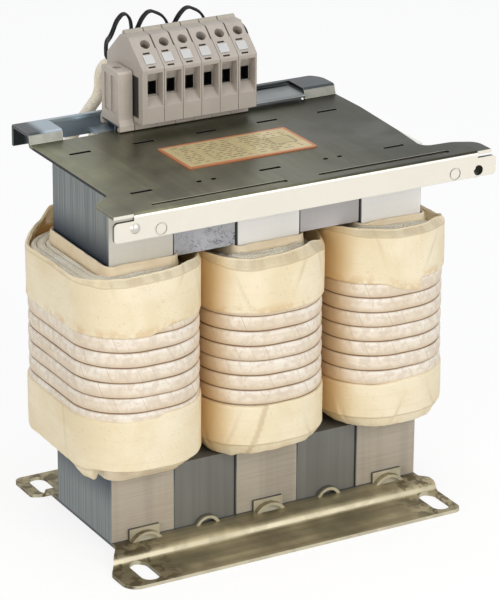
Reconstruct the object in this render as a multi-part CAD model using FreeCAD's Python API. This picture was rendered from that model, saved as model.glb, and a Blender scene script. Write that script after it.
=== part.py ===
import FreeCAD, Part
import math
import os
from FreeCAD import Vector

# Sine wave filter: an open three-phase choke with a terminal row on its top frame.
# Millimetres. X runs along the core to the right, Y to the back, Z up.
# The origin is under the middle of the core, on the plane that the feet stand on.

# Core: three full-height legs and yoke blocks between them, stacked from sheets along Y
leg_width = 40.0
window_width = 40.0
window_height = 125.0
yoke_height = 40.0
stack_depth = 68.0
air_gap = 1.2
sheet_bevel = 0.4

# Frames above and below the core, each folded from one steel sheet
frame_sheet = 2.0
bend_radius = 2.2
foot_drop = 5.0
foot_reach = 46.5
tray_reach = 15.0
foot_flare = 7.0
front_left_flare = 13.0
front_right_flare = 4.5
front_neck = 5.0
foot_corner = 9.0
slot_width = 11.0
slot_length = 24.0
slot_inset = 5.0
slot_out = 30.5
grip_tab_width = 19.0
grip_tab_height = 6.5
leg_lance_width = 18.6
yoke_lance_width = 15.0
lance_rise = 4.8
lance_depth = 3.5
lance_sheet = 1.6

front_reach = 33.0
strip_height = 15.0
strip_left = 13.0
strip_right = 28.0
strip_relief = 3.8
relief_length = 12.0
fold_flat = 6.0
plate_flare_back = 10.5
plate_flare_inset = 7.5
plate_flare_run = 13.0
plate_end_gap = 3.0
plate_waist = 7.0
waist_ease = 3.5
waist_length = 31.0
waist_round = 60.0
strip_hole_radius = 3.0
left_hole_drop = 8.2
right_hole_drop = 11.2
ring_drop = 10.9
nut_radius = 5.0
nut_length = 5.0
right_hole_inset = 11.5
left_hole_inset = 12.6
earth_ring_radius = 3.6
earth_ring_width = 0.6
earth_ring_from_hole = 15.5
press_depth = 0.4
tab_slot_width = 13.5
tab_slot_shift = -1.2
small_slot_width = 3.2
small_slot_pitch = 9.0
tab_slot_depth = 3.0
plate_tab_drop = 4.0
bead_width = 4.2
bead_setback = 8.5
bead_inset = 14.0
bead_middle_gap = 20.0

# Rear of the top frame: level plate, raised ends and a stiffening angle behind
plate_rear = 28.0
shelf_rise = 6.0
shelf_lap = 12.0
shelf_end_width = 21.0
shelf_rear = 52.0
shelf_corner = 12.0
angle_width = 4.6
rear_flange_height = 13.0
opening_left_width = 22.0

# Terminal rail and terminal row
rail_rise = 4.0
rail_sheet = 1.5
rail_width = 21.0
rail_centre_out = 34.5
rail_right_gap = 2.0
rail_web_width = 11.0
terminal_count = 6
terminal_pitch = 12.0
terminal_play = 0.2
terminal_row_left = 65.5
terminal_length = 44.0
terminal_height = 47.3
terminal_lift = 2.0
shoulder_height = 32.5
roof_flat = 10.0
hook_reach = 2.0
entry_wall = 1.0
front_entry_depth = 5.0
rear_entry_depth = 9.5
entry_low = 10.0
entry_high = 30.0
front_window_low = 15.0
front_cage_height = 10.1
rear_window_low = 18.0
rear_cage_height = 8.4
cage_width = 8.4
cage_wall = 0.9
cage_length = 8.0
cage_play = 0.15
screw_hole_radius = 3.0
screw_hole_depth = 7.0
screw_along_slope = 16.8
screw_offset = 0.2
screw_radius = 2.7
screw_slot = 0.8
tag_along_slope = 6.4
tag_offset = -1.4
tag_width = 6.4
tag_height = 6.2
tag_thickness = 1.0
tag_seat = 0.5
marker_slot_length = 4.4
marker_slot_width = 1.2
marker_slot_depth = 1.2
marker_slot_gap = 1.1
ridge_radius = 2.1
ridge_back = 5.4
ridge_sink = 0.4
ridge_gap = 0.5
side_relief_width = 0.8
side_relief_length = 10.0
side_relief_depth = 2.0
end_plate_thickness = 2.0
bracket_gap = 0.6
bracket_width = 9.0
bracket_depth = 21.0
bracket_height = 31.5
bracket_panel = 1.2

# Rating plate on the top frame
rating_length = 82.0
rating_depth = 38.5
rating_thickness = 0.6
rating_back = 2.0
rating_corner = 1.5

# Coils: a wrapped former, a winding of flat covered wire and two tape bands
former_clearance_x = 1.0
former_bulge = 4.0
former_wall = 2.5
former_corner = 7.0
former_stand = 3.0
coil_floor_gap = 3.0
coil_ceiling_gap = 5.0
coil_gap = 0.8
coil_build_depth = 21.4
coil_corner = 33.0
lower_band_height = 26.6
upper_band_height = 29.8
turn_count = 7
turn_round = 2.4
winding_recess = 3.0
winding_foot = 12.0
band_wall = 2.2
band_proud = 0.9
band_round = 1.4
tuck_height = 11.0
tuck_side = 7.5
tuck_front = 4.0

# Sleeved leads from the coils to the back of the terminals, and thin sensor wires
lead_diameter = 7.0
lead_end_depth = 9.0
lead_offset = 9.0
lead_back = 13.0
lead_arch = 0.8
lead_bend = 7.0
lead_climb = [0.13, 0.31, 0.486, 0.742]
lead_bows = [-5.0, 1.5, -1.0, 1.5, -1.5, 2.5]
wire_diameter = 1.5
wire_pair_step = 1.9
wire_end_depth = 7.0
wire_gap = 0.4
wire_lift = 0.6
arch_half_width = 6.6
wire_peaks = [10.2, 9.2, 8.2]
wire_beside_lead = 7.5

# Places worked out from the sizes above
core_length = 3 * leg_width + 2 * window_width
core_height = window_height + 2 * yoke_height
half_length = core_length / 2
half_depth = stack_depth / 2
leg_pitch = leg_width + window_width
slot_spacing_x = core_length - 2 * slot_inset
core_bottom = foot_drop + frame_sheet
core_top = core_bottom + core_height
plate_top = core_top + frame_sheet
front_face = -half_depth - front_reach
strip_bottom = plate_top - strip_height
strip_start = -half_length - strip_left
strip_end = half_length + strip_right
rivet_x = strip_start + left_hole_inset
earth_hole_x = strip_end - right_hole_inset
shelf_top = plate_top + shelf_rise
plate_back = half_depth + plate_rear
shelf_back = half_depth + shelf_rear
rail_top = plate_top + rail_rise
rail_centre = half_depth + rail_centre_out
tongue_left = -half_length + shelf_end_width + opening_left_width
rail_right = half_length - shelf_end_width - rail_right_gap
row_left = terminal_row_left - half_length
bracket_right = row_left - end_plate_thickness - bracket_gap
rail_left = bracket_right - bracket_width + 0.5
terminal_base = rail_top + terminal_lift
terminal_top = terminal_base + terminal_height
terminal_front = rail_centre - terminal_length / 2
shoulder_z = terminal_base + shoulder_height
roof_front = rail_centre - roof_flat / 2
slope_run = roof_front - terminal_front
slope_rise = terminal_top - shoulder_z
slope_angle = math.atan2(slope_rise, slope_run)
slope_length = math.hypot(slope_run, slope_rise)
coil_bottom = yoke_height + coil_floor_gap
coil_top = yoke_height + window_height - coil_ceiling_gap
turns_bottom = coil_bottom + lower_band_height
turns_top = coil_top - upper_band_height
turn_pitch = (turns_top - turns_bottom) / turn_count
coil_half_width = (leg_pitch - coil_gap) / 2 - band_proud
coil_half_depth = half_depth + coil_build_depth
leg_places = {"left": -leg_pitch, "middle": 0.0, "right": leg_pitch}

os.makedirs("parts", exist_ok=True)


def save(name, shape):
    shape.exportStep("parts/" + name + ".step")


def box(x0, x1, y0, y1, z0, z1):
    return Part.makeBox(x1 - x0, y1 - y0, z1 - z0, Vector(x0, y0, z0))


def joined(shapes):
    result = shapes[0].fuse(shapes[1:]) if len(shapes) > 1 else shapes[0]
    return result.removeSplitter()


def without(shape, cutters):
    return shape.cut(Part.makeCompound(cutters))


def corner_arc(before, corner, after, radius):
    """Ends and middle point of the arc that rounds one corner of a path."""
    towards = (before - corner).normalize()
    away = (after - corner).normalize()
    half_turn = (math.pi - towards.getAngle(away)) / 2
    setback = radius * math.tan(half_turn)
    start = corner + towards * setback
    end = corner + away * setback
    bisector = (towards + away).normalize()
    centre = corner + bisector * math.hypot(setback, radius)
    middle = centre - bisector * radius
    return start, middle, end


def rounded_wire(points, radii, closed=True):
    """A wire through the points with each corner rounded by its own radius, 0 for sharp."""
    count = len(points)
    edges = []
    ends = []
    for index, corner in enumerate(points):
        if not closed and index in (0, count - 1):
            ends.append((corner, corner))
            continue
        if radii[index] <= 0:
            ends.append((corner, corner))
            continue
        before = points[index - 1]
        after = points[(index + 1) % count]
        start, middle, end = corner_arc(before, corner, after, radii[index])
        edges.append(Part.Arc(start, middle, end).toShape())
        ends.append((start, end))
    for index in range(count if closed else count - 1):
        start = ends[index][1]
        end = ends[(index + 1) % count][0]
        if start.distanceToPoint(end) > 1e-6:
            edges.append(Part.LineSegment(start, end).toShape())
    return Part.Wire(Part.__sortEdges__(edges))


def flat_prism(points, radii, z0, z1):
    """A plate with an outline of (x, y) points, from z0 up to z1."""
    wire = rounded_wire([Vector(x, y, z0) for x, y in points], radii)
    return Part.Face(wire).extrude(Vector(0, 0, z1 - z0))


def side_prism(points, radii, x0, x1):
    """A bar with a section of (y, z) points, from x0 to x1."""
    wire = rounded_wire([Vector(x0, y, z) for y, z in points], radii)
    return Part.Face(wire).extrude(Vector(x1 - x0, 0, 0))


def folded_sheet(path, thickness, x0, x1):
    """A sheet folded along X. The path gives (y, z) points of its right-hand face."""
    count = len(path)
    other = []
    for index, (y, z) in enumerate(path):
        normals = []
        for first, second in ((index - 1, index), (index, index + 1)):
            if first < 0 or second >= count:
                continue
            dy = path[second][0] - path[first][0]
            dz = path[second][1] - path[first][1]
            length = math.hypot(dy, dz)
            normals.append((-dz / length, dy / length))
        ny = sum(normal[0] for normal in normals) / len(normals)
        nz = sum(normal[1] for normal in normals) / len(normals)
        stretch = thickness / (ny * ny + nz * nz)
        other.append((y + ny * stretch, z + nz * stretch))
    radii_one = [0.0] * count
    radii_two = [0.0] * count
    for index in range(1, count - 1):
        ay = path[index][0] - path[index - 1][0]
        az = path[index][1] - path[index - 1][1]
        by = path[index + 1][0] - path[index][0]
        bz = path[index + 1][1] - path[index][1]
        left_turn = ay * bz - az * by > 0
        radii_one[index] = bend_radius + (thickness if left_turn else 0.0)
        radii_two[index] = bend_radius + (0.0 if left_turn else thickness)
    points = path + other[::-1]
    return side_prism(points, radii_one + radii_two[::-1], x0, x1)


def oval_points(half_width, half_length_y):
    w = half_width
    d = half_length_y
    return [(-w, -d), (w, -d), (w, d), (-w, d)]


def oval_block(x, half_width, half_depth_y, corner, z0, z1):
    points = [(x + px, py) for px, py in oval_points(half_width, half_depth_y)]
    return flat_prism(points, [corner] * 4, z0, z1)


def edges_at(shape, z):
    return [e for e in shape.Edges if abs(e.BoundBox.ZMin - z) < 1e-4 and abs(e.BoundBox.ZMax - z) < 1e-4]


def soft_block(x, half_width, half_depth_y, corner, z0, z1, rounding):
    """An oval block whose upper and lower rims are rounded."""
    block = oval_block(x, half_width, half_depth_y, corner, z0, z1)
    return block.makeFillet(rounding, edges_at(block, z0) + edges_at(block, z1))


def tube_along(points, diameter, note):
    """A round tube: straight runs joined by tangent arcs as large as the runs allow."""
    vectors = [Vector(*point) for point in points]
    radii = [0.0]
    for before, corner, after in zip(vectors, vectors[1:], vectors[2:]):
        turn = math.pi - (before - corner).getAngle(after - corner)
        run = min(corner.distanceToPoint(before), corner.distanceToPoint(after))
        radii.append(0.45 * run / math.tan(turn / 2))
    radii.append(0.0)
    spine = rounded_wire(vectors, radii, closed=False)
    direction = vectors[1] - vectors[0]
    ring = Part.Wire(Part.makeCircle(diameter / 2, vectors[0], direction))
    tube = spine.makePipeShell([ring], True, False)
    expected = math.pi * diameter ** 2 / 4 * spine.Length
    smallest = min(radius for radius in radii if radius > 0)
    print(note, "length", round(spine.Length, 1), "smallest radius", round(smallest, 1),
          "volume ratio", round(tube.Volume / expected, 4))
    return tube


# Core legs: full height, with the sheet edges slightly broken along the outer corners
def core_block(x0, x1, z0, z1):
    block = box(x0, x1, -half_depth, half_depth, z0, z1)
    upright = [e for e in block.Edges if e.BoundBox.ZLength > 1.0]
    return block.makeChamfer(sheet_bevel, upright)


for side, x in leg_places.items():
    save("core_leg_" + side, core_block(x - leg_width / 2, x + leg_width / 2, core_bottom, core_top))

# Yoke blocks fill the windows at top and bottom; a card sheet sets the air gap at their right end
yoke_levels = {"lower": (core_bottom, core_bottom + yoke_height), "upper": (core_top - yoke_height, core_top)}
for level, (z0, z1) in yoke_levels.items():
    for side, x in (("left", -leg_pitch / 2), ("right", leg_pitch / 2)):
        x0 = x - window_width / 2
        x1 = x + window_width / 2
        save("yoke_" + level + "_" + side, core_block(x0, x1 - air_gap, z0, z1))
        save("gap_sheet_" + level + "_" + side,
             box(x1 - air_gap, x1, -half_depth + sheet_bevel, half_depth - sheet_bevel, z0, z1))


# Coil former: a tube of wound card that bulges in front of and behind the leg
former_in_width = leg_width / 2 + former_clearance_x
former_in_depth = half_depth + former_bulge
former_out_width = former_in_width + former_wall
former_out_depth = former_in_depth + former_wall


def coil_former(x):
    z0 = core_bottom + coil_bottom - former_stand
    z1 = core_bottom + coil_top + former_stand
    outer = oval_block(x, former_out_width, former_out_depth, former_corner + former_wall, z0, z1)
    inner = oval_block(x, former_in_width, former_in_depth, former_corner, z0 - 1, z1 + 1)
    return outer.cut(inner)


# Winding: turns of flat paper-covered wire side by side, with plain ends under the tape bands
band_in_width = coil_half_width + band_proud - band_wall
band_in_depth = coil_half_depth + band_proud - band_wall
band_corner = coil_corner + band_proud


def winding(x):
    z_low = core_bottom + coil_bottom + winding_foot
    z_high = core_bottom + coil_top - winding_recess
    under_band = band_corner - band_wall
    pieces = [oval_block(x, band_in_width, band_in_depth, under_band, z_low, z_high)]
    for turn in range(turn_count):
        z0 = core_bottom + turns_bottom + turn * turn_pitch
        pieces.append(soft_block(x, coil_half_width, coil_half_depth, coil_corner,
                                 z0, z0 + turn_pitch, turn_round))
    bore = oval_block(x, former_out_width, former_out_depth, former_corner + former_wall,
                      z_low - 1, z_high + 1)
    return pieces[0].fuse(pieces[1:]).cut(bore)


# Tape band: several layers of wide tape round each end of the winding
def tape_band(x, z0, z1):
    outer = soft_block(x, coil_half_width + band_proud, coil_half_depth + band_proud, band_corner,
                       z0, z1, band_round)
    inner = oval_block(x, band_in_width, band_in_depth, band_corner - band_wall, z0 - 1, z1 + 1)
    return outer.cut(inner)


def tucked_oval(wall, share, z):
    """Outline of the band at height z, drawn in by a share of the full tuck and by the wall."""
    half_width = coil_half_width + band_proud - wall - share * tuck_side
    half_depth_y = coil_half_depth + band_proud - wall - share * tuck_front
    points = [Vector(x, y, z) for x, y in oval_points(half_width, half_depth_y)]
    return rounded_wire(points, [band_corner - wall - share * tuck_front] * 4)


def tucked_band(z0, z1):
    """The lower band: its free edge is drawn in under the end of the winding."""
    z_fold = z0 + tuck_height
    straight = tape_band(0.0, z_fold - band_round, z1)
    reach = coil_half_depth + band_proud + 1.0
    straight = straight.cut(box(-reach, reach, -reach, reach, z_fold - band_round - 1.0, z_fold))
    outer = Part.makeLoft([tucked_oval(0.0, 1.0, z0), tucked_oval(0.0, 0.0, z_fold)], True, True)
    inner = Part.makeLoft([tucked_oval(band_wall, 1.0, z0), tucked_oval(band_wall, 0.0, z_fold)], True, True)
    return joined([straight, outer.cut(inner)])


former_shape = coil_former(0.0)
winding_shape = winding(0.0)
band_levels = {
    "lower": (core_bottom + coil_bottom, core_bottom + turns_bottom),
    "upper": (core_bottom + turns_top, core_bottom + coil_top),
}
for side, x in leg_places.items():
    shift = Vector(x, 0, 0)
    save("coil_former_" + side, former_shape.translated(shift))
    save("winding_" + side, winding_shape.translated(shift))
for level, (z0, z1) in band_levels.items():
    band_shape = tucked_band(z0, z1) if level == "lower" else tape_band(0.0, z0, z1)
    for side, x in leg_places.items():
        save("tape_band_" + level + "_" + side, band_shape.translated(Vector(x, 0, 0)))


# Bottom frame: a tray under the core, joggled down at front and back into slotted feet
def bottom_frame():
    joggle_run = foot_drop * 0.5
    tray_end = half_depth + tray_reach
    foot_end = half_depth + foot_reach
    path = [
        (-foot_end, 0.0), (-tray_end - joggle_run, 0.0), (-tray_end, foot_drop),
        (tray_end, foot_drop), (tray_end + joggle_run, 0.0), (foot_end, 0.0),
    ]
    wide = half_length + foot_flare
    front_left = -half_length - front_left_flare
    front_right = half_length + front_right_flare
    sheet = folded_sheet(path, frame_sheet, front_left, wide)
    neck = half_depth + front_neck
    rear_neck = tray_end + joggle_run + 1.0
    flare = front_left_flare * 1.6
    outline = [
        (front_left, -foot_end), (front_right, -foot_end), (front_right, -neck - front_right_flare),
        (half_length, -neck), (half_length, rear_neck), (wide, rear_neck + foot_flare * 0.5),
        (wide, foot_end), (-wide, foot_end), (-wide, rear_neck + foot_flare * 0.5),
        (-half_length, rear_neck), (-half_length, -neck), (front_left, -neck - flare),
    ]
    near = foot_corner * 0.6
    turn = foot_corner * 0.25
    radii = [foot_corner, near, turn, turn, turn, turn, near, near, turn, turn, near, near]
    frame = sheet.common(flat_prism(outline, radii, -1.0, core_bottom + 1.0))
    slots = []
    for x in (-slot_spacing_x / 2, slot_spacing_x / 2):
        for y in (-half_depth - slot_out, half_depth + slot_out):
            reach = slot_length / 2
            wide_half = slot_width / 2
            points = [(x - wide_half, y - reach), (x + wide_half, y - reach),
                      (x + wide_half, y + reach), (x - wide_half, y + reach)]
            slots.append(flat_prism(points, [wide_half * 0.98] * 4, -1.0, core_bottom + 1.0))
    extras = []
    openings = []
    for face, out in ((-half_depth, -1.0), (half_depth, 1.0)):
        for x in leg_places.values():
            y0, y1 = sorted((face, face + out * frame_sheet))
            extras.append(box(x - grip_tab_width / 2, x + grip_tab_width / 2, y0, y1,
                              foot_drop + 0.5, core_bottom + grip_tab_height))
            hole = sorted((face + out * frame_sheet, face + out * (frame_sheet + lance_depth)))
            openings.append(box(x - grip_tab_width / 2, x + grip_tab_width / 2, hole[0], hole[1],
                                foot_drop - 1.0, core_bottom + 1.0))
            extras.append(arched_lance(x, face + out * frame_sheet, out, leg_lance_width))
        for x in (-leg_pitch / 2, leg_pitch / 2):
            extras.append(arched_lance(x, face, out, yoke_lance_width))
    return joined([without(frame, slots + openings)] + extras)


def arched_lance(x, y, out, width):
    """A bridge pressed up out of the tray, which wedges the core's lower edge."""
    half = width / 2
    rise = lance_rise
    upper = Part.Arc(Vector(x - half, y, core_bottom), Vector(x, y, core_bottom + rise),
                     Vector(x + half, y, core_bottom)).toShape()
    low = foot_drop + 0.2
    legs = [
        Part.LineSegment(Vector(x + half, y, core_bottom), Vector(x + half, y, low)).toShape(),
        Part.LineSegment(Vector(x - half, y, low), Vector(x - half, y, core_bottom)).toShape(),
    ]
    inner = half - lance_sheet
    lower = Part.Arc(Vector(x + inner, y, low), Vector(x, y, core_bottom + rise - lance_sheet),
                     Vector(x - inner, y, low)).toShape()
    feet = [
        Part.LineSegment(Vector(x + half, y, low), Vector(x + inner, y, low)).toShape(),
        Part.LineSegment(Vector(x - inner, y, low), Vector(x - half, y, low)).toShape(),
    ]
    wire = Part.Wire(Part.__sortEdges__([upper, lower] + legs + feet))
    return Part.Face(wire).extrude(Vector(0, out * lance_depth, 0))


save("bottom_frame", bottom_frame())


# Top frame: level plate, front strip folded down, raised ends and a rear angle
def plate_outline():
    wide = half_length
    left = strip_start
    right = strip_end - plate_end_gap
    flare = -half_depth - plate_flare_back
    front = front_face - 1.0
    waist = wide - plate_waist
    points = [
        (-wide, plate_back + 1.0), (-wide, -half_depth), (left, flare), (left, front),
        (right, front), (right, flare - plate_flare_inset), (right - plate_flare_run, flare - 1.0),
        (waist, flare), (waist + waist_ease, flare + waist_length), (wide, half_depth),
        (wide, plate_back + 1.0),
    ]
    radii = [0.0, 2.0, 3.0, 0.0, 0.0, 8.0, 12.0, 6.0, waist_round, waist_round, 0.0]
    return points, radii


def front_strip():
    """The folded strip, whose two ends reach past the plate as free tongues."""
    path = [(front_face, strip_bottom), (front_face, plate_top), (front_face + fold_flat, plate_top)]
    middle = folded_sheet(path, -frame_sheet, strip_start + relief_length, strip_end - relief_length)
    points = [(strip_start, strip_bottom), (strip_end, strip_bottom),
              (strip_end, plate_top - strip_relief), (strip_start, plate_top - strip_relief)]
    wire = rounded_wire([Vector(x, front_face, z) for x, z in points], [2.0, 2.0, 2.5, 2.5])
    tongue = Part.Face(wire).extrude(Vector(0, frame_sheet, 0))
    return [middle, tongue]


def strip_marks():
    """Two fixing holes in the strip and a pressed ring beside each one."""
    back = Vector(0, 1, 0)
    cutters = []
    for x, drop, inward in ((rivet_x, left_hole_drop, 1.0), (earth_hole_x, right_hole_drop, -1.0)):
        start = Vector(x, front_face - 1, plate_top - drop)
        cutters.append(Part.makeCylinder(strip_hole_radius, frame_sheet + nut_length + 2, start, back))
        start = Vector(x + inward * earth_ring_from_hole, front_face - press_depth, plate_top - ring_drop)
        ring = Part.makeCylinder(earth_ring_radius, 2 * press_depth, start, back)
        inside = Part.makeCylinder(earth_ring_radius - earth_ring_width, 2 * press_depth, start, back)
        cutters.append(ring.cut(inside))
    return cutters


def earth_nut():
    """Round nut pressed into the strip from behind, round the right hole."""
    start = Vector(earth_hole_x, front_face + frame_sheet, plate_top - right_hole_drop)
    return Part.makeCylinder(nut_radius, nut_length, start, Vector(0, 1, 0))


def plate_slots_and_tabs():
    """Tabs lanced out of the plate grip the core's front and back faces."""
    slots = []
    tabs = []
    wide_places = [(x, tab_slot_width) for x in leg_places.values()]
    for face, out in ((-half_depth, -1.0), (half_depth, 1.0)):
        places = list(wide_places)
        for x in (-leg_pitch / 2, leg_pitch / 2):
            if out > 0:
                places.append((x, tab_slot_width))
            else:
                places.append((x - small_slot_pitch / 2, small_slot_width))
                places.append((x + small_slot_pitch / 2, small_slot_width))
        for place, width in places:
            x = place + tab_slot_shift
            y0, y1 = sorted((face, face + out * frame_sheet * 0.7))
            tabs.append(box(x - width / 2, x + width / 2, y0, y1, core_top - plate_tab_drop, core_top + 0.5))
            near = face + out * frame_sheet * 0.7
            s0, s1 = sorted((near, near + out * tab_slot_depth))
            slots.append(box(x - width / 2, x + width / 2, s0, s1, core_top - 1, plate_top + 1))
    return slots, tabs


def stiffening_beads():
    """Two long shallow grooves pressed into the plate just behind the fold."""
    y = front_face + bead_setback
    middle = bead_middle_gap / 2
    shift = (strip_right - strip_left) / 2
    beads = []
    for x0, x1 in ((-half_length + bead_inset, shift - middle), (shift + middle, half_length + 2.0)):
        points = [(x0, y - bead_width / 2), (x1, y - bead_width / 2),
                  (x1, y + bead_width / 2), (x0, y + bead_width / 2)]
        beads.append(flat_prism(points, [bead_width * 0.45] * 4, plate_top - press_depth * 2, plate_top + 1))
    return beads


def raised_end(x0, x1):
    """One end of the shelf: a step up from the plate, a level top and the rear flange."""
    step_run = shelf_rise * 0.35
    path = [
        (plate_back - shelf_lap, plate_top), (plate_back, plate_top), (plate_back + step_run, shelf_top),
        (shelf_back, shelf_top), (shelf_back, shelf_top - rear_flange_height),
    ]
    return folded_sheet(path, -frame_sheet, x0, x1)


def shelf_corner_cut():
    """What the large round on the shelf's rear right corner takes away."""
    low = shelf_top - rear_flange_height - 1.0
    square = box(half_length - shelf_corner, half_length + 1, shelf_back - shelf_corner, shelf_back + 1,
                 low, shelf_top + 1)
    round_part = Part.makeCylinder(shelf_corner, shelf_top + 2 - low,
                                   Vector(half_length - shelf_corner, shelf_back - shelf_corner, low))
    return square.cut(round_part)


def top_frame():
    points, radii = plate_outline()
    plate = flat_prism(points, radii, core_top, plate_top)
    fold_line = front_face + bend_radius + frame_sheet
    plate = plate.cut(box(strip_start + relief_length, strip_end - relief_length, front_face - 5, fold_line,
                          core_top - 1, plate_top + 1))
    plate = plate.cut(box(strip_start - 1, strip_end + 1, front_face - 5, front_face + 0.5,
                          core_top - 1, plate_top + 1))
    plate = plate.cut(box(strip_start - 1, strip_end + 1, plate_back - 0.5, plate_back + 5,
                          core_top - 1, plate_top + 1))
    ends = [raised_end(-half_length, -half_length + shelf_end_width),
            raised_end(half_length - shelf_end_width, half_length)]
    angle_path = [(shelf_back - angle_width, shelf_top), (shelf_back, shelf_top),
                  (shelf_back, shelf_top - rear_flange_height)]
    angle = folded_sheet(angle_path, -frame_sheet, -half_length, half_length)
    tongue = box(tongue_left, rail_right, plate_back - 2.0, rail_centre + rail_web_width / 2 + rail_sheet,
                 core_top, plate_top)
    slots, tabs = plate_slots_and_tabs()
    body = joined([plate] + front_strip() + ends + [angle, tongue, earth_nut()] + tabs)
    return without(body, slots + strip_marks() + stiffening_beads() + [shelf_corner_cut()])


save("top_frame", top_frame())

# Earth rivet in the strip's left hole
rivet_z = plate_top - left_hole_drop
rivet_shank = Part.makeCylinder(strip_hole_radius, frame_sheet + 1.2, Vector(rivet_x, front_face, rivet_z),
                                Vector(0, 1, 0))
rivet_tail = Part.makeCylinder(strip_hole_radius + 1.2, 0.8,
                               Vector(rivet_x, front_face + frame_sheet, rivet_z), Vector(0, 1, 0))
rivet_dome = Part.makeSphere(strip_hole_radius * 1.25, Vector(rivet_x, front_face + strip_hole_radius * 0.75,
                                                              rivet_z))
dome_keep = box(rivet_x - 5, rivet_x + 5, front_face - 5, front_face, rivet_z - 5, rivet_z + 5)
save("earth_rivet", joined([rivet_shank, rivet_tail, rivet_dome.common(dome_keep)]))

# Rating plate, glued to the top frame
rating_half = rating_length / 2
rating_low = rating_back - rating_depth / 2
rating_high = rating_back + rating_depth / 2
rating_points = [(-rating_half, rating_low), (rating_half, rating_low),
                 (rating_half, rating_high), (-rating_half, rating_high)]
save("rating_plate", flat_prism(rating_points, [rating_corner] * 4, plate_top, plate_top + rating_thickness))


# Terminal rail: a narrow inverted channel whose overhanging edges hold the terminals
def terminal_rail():
    crown = box(rail_left, rail_right, rail_centre - rail_width / 2, rail_centre + rail_width / 2,
                rail_top - rail_sheet, rail_top)
    lips = [e for e in crown.Edges if e.BoundBox.XLength > 1.0 and e.BoundBox.ZMin > rail_top - 0.1]
    crown = crown.makeFillet(rail_sheet * 0.4, lips)
    outer = box(rail_left, rail_right, rail_centre - rail_web_width / 2, rail_centre + rail_web_width / 2,
                plate_top, rail_top - rail_sheet * 0.5)
    inner = box(rail_left - 1, rail_right + 1, rail_centre - rail_web_width / 2 + rail_sheet,
                rail_centre + rail_web_width / 2 - rail_sheet, plate_top - 1, rail_top - rail_sheet)
    return joined([crown, outer]).cut(inner)


save("terminal_rail", terminal_rail())


# Terminal housing: gabled block with a wire entry and a screw hole on each side
def housing_section(x0, x1):
    hook_out = rail_width / 2 + hook_reach
    hook_in = rail_width / 2 - 1.6
    rail_play = 0.1
    low = plate_top + 0.4
    under = rail_top - rail_sheet - rail_play
    front = [
        (terminal_front, shoulder_z), (terminal_front, terminal_base),
        (rail_centre - hook_out, terminal_base), (rail_centre - hook_out, low),
        (rail_centre - hook_in, low), (rail_centre - hook_in, under),
        (rail_centre - rail_width / 2 - rail_play, under),
        (rail_centre - rail_width / 2 - rail_play, rail_top),
    ]
    rear = [(2 * rail_centre - y, z) for y, z in front[::-1]]
    roof = [(2 * rail_centre - roof_front, terminal_top), (roof_front, terminal_top)]
    front_radii = [2.0, 0.5, 0.0, 0.8, 0.8, 0.0, 0.0, 0.0]
    radii = front_radii + front_radii[::-1] + [2.5, 2.5]
    return side_prism(front + rear + roof, radii, x0, x1)


def mirrored_back(shape):
    return shape.mirror(Vector(0, rail_centre, 0), Vector(0, 1, 0))


def on_slope(along, depth):
    """A point on the front slope, measured up it from the shoulder and down into it."""
    y = terminal_front + along * math.cos(slope_angle) + depth * math.sin(slope_angle)
    z = shoulder_z + along * math.sin(slope_angle) - depth * math.cos(slope_angle)
    return y, z


into_slope = Vector(0, math.sin(slope_angle), -math.cos(slope_angle))


def slope_box(x, along, width, height, depth_from, depth_to):
    """A small block whose sides follow the front slope."""
    half = height / 2
    corners = [on_slope(along - half, depth_from), on_slope(along + half, depth_from),
               on_slope(along + half, depth_to), on_slope(along - half, depth_to)]
    return side_prism(corners, [0.0] * 4, x - width / 2, x + width / 2)


front_entry = (front_entry_depth, front_window_low, front_cage_height)
rear_entry = (rear_entry_depth, rear_window_low, rear_cage_height)


def entry_funnel(x, depth, window_low, window_height):
    """The wire entry: a recess with a sloping floor, and a chamber for the cage behind it."""
    half = terminal_pitch / 2 - terminal_play / 2 - entry_wall
    back_wall = terminal_front + depth
    section = [(terminal_front - 1, terminal_base + entry_low), (terminal_front, terminal_base + entry_low),
               (back_wall, terminal_base + window_low), (back_wall, terminal_base + entry_high - 1.5),
               (terminal_front, terminal_base + entry_high), (terminal_front - 1, terminal_base + entry_high)]
    funnel = side_prism(section, [0.0] * 6, x - half, x + half)
    chamber = box(x - cage_width / 2, x + cage_width / 2, back_wall - 1, back_wall + cage_length,
                  terminal_base + window_low, terminal_base + window_low + window_height)
    return joined([funnel, chamber])


def housing(x0, x1):
    shape = housing_section(x0, x1)
    x = (x0 + x1) / 2
    y, z = on_slope(screw_along_slope, -1.0)
    screw_hole = Part.makeCylinder(screw_hole_radius, screw_hole_depth + 1,
                                   Vector(x + screw_offset, y, z), into_slope)
    tag_seat_cut = slope_box(x + tag_offset, tag_along_slope, tag_width, tag_height, -1.0, tag_seat)
    beside_tag = tag_height / 2 + marker_slot_gap
    slits = [slope_box(x + tag_offset, tag_along_slope + offset, marker_slot_length, marker_slot_width,
                       -1.0, marker_slot_depth) for offset in (-beside_tag - 0.8, beside_tag + 0.2)]
    side_relief = slope_box(x1, slope_length - side_relief_length / 2 + 1.0, 2 * side_relief_width,
                            side_relief_length, -2.0, side_relief_depth)
    ridge_seat = Part.makeCylinder(ridge_radius, x1 - x0 + 2,
                                   Vector(x0 - 1, rail_centre + ridge_back, terminal_top - ridge_sink),
                                   Vector(1, 0, 0))
    front_cuts = [entry_funnel(x, *front_entry), screw_hole, tag_seat_cut, side_relief] + slits
    rear_cuts = [mirrored_back(entry_funnel(x, *rear_entry)), mirrored_back(screw_hole)]
    return without(shape, front_cuts + rear_cuts + [ridge_seat])


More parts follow.
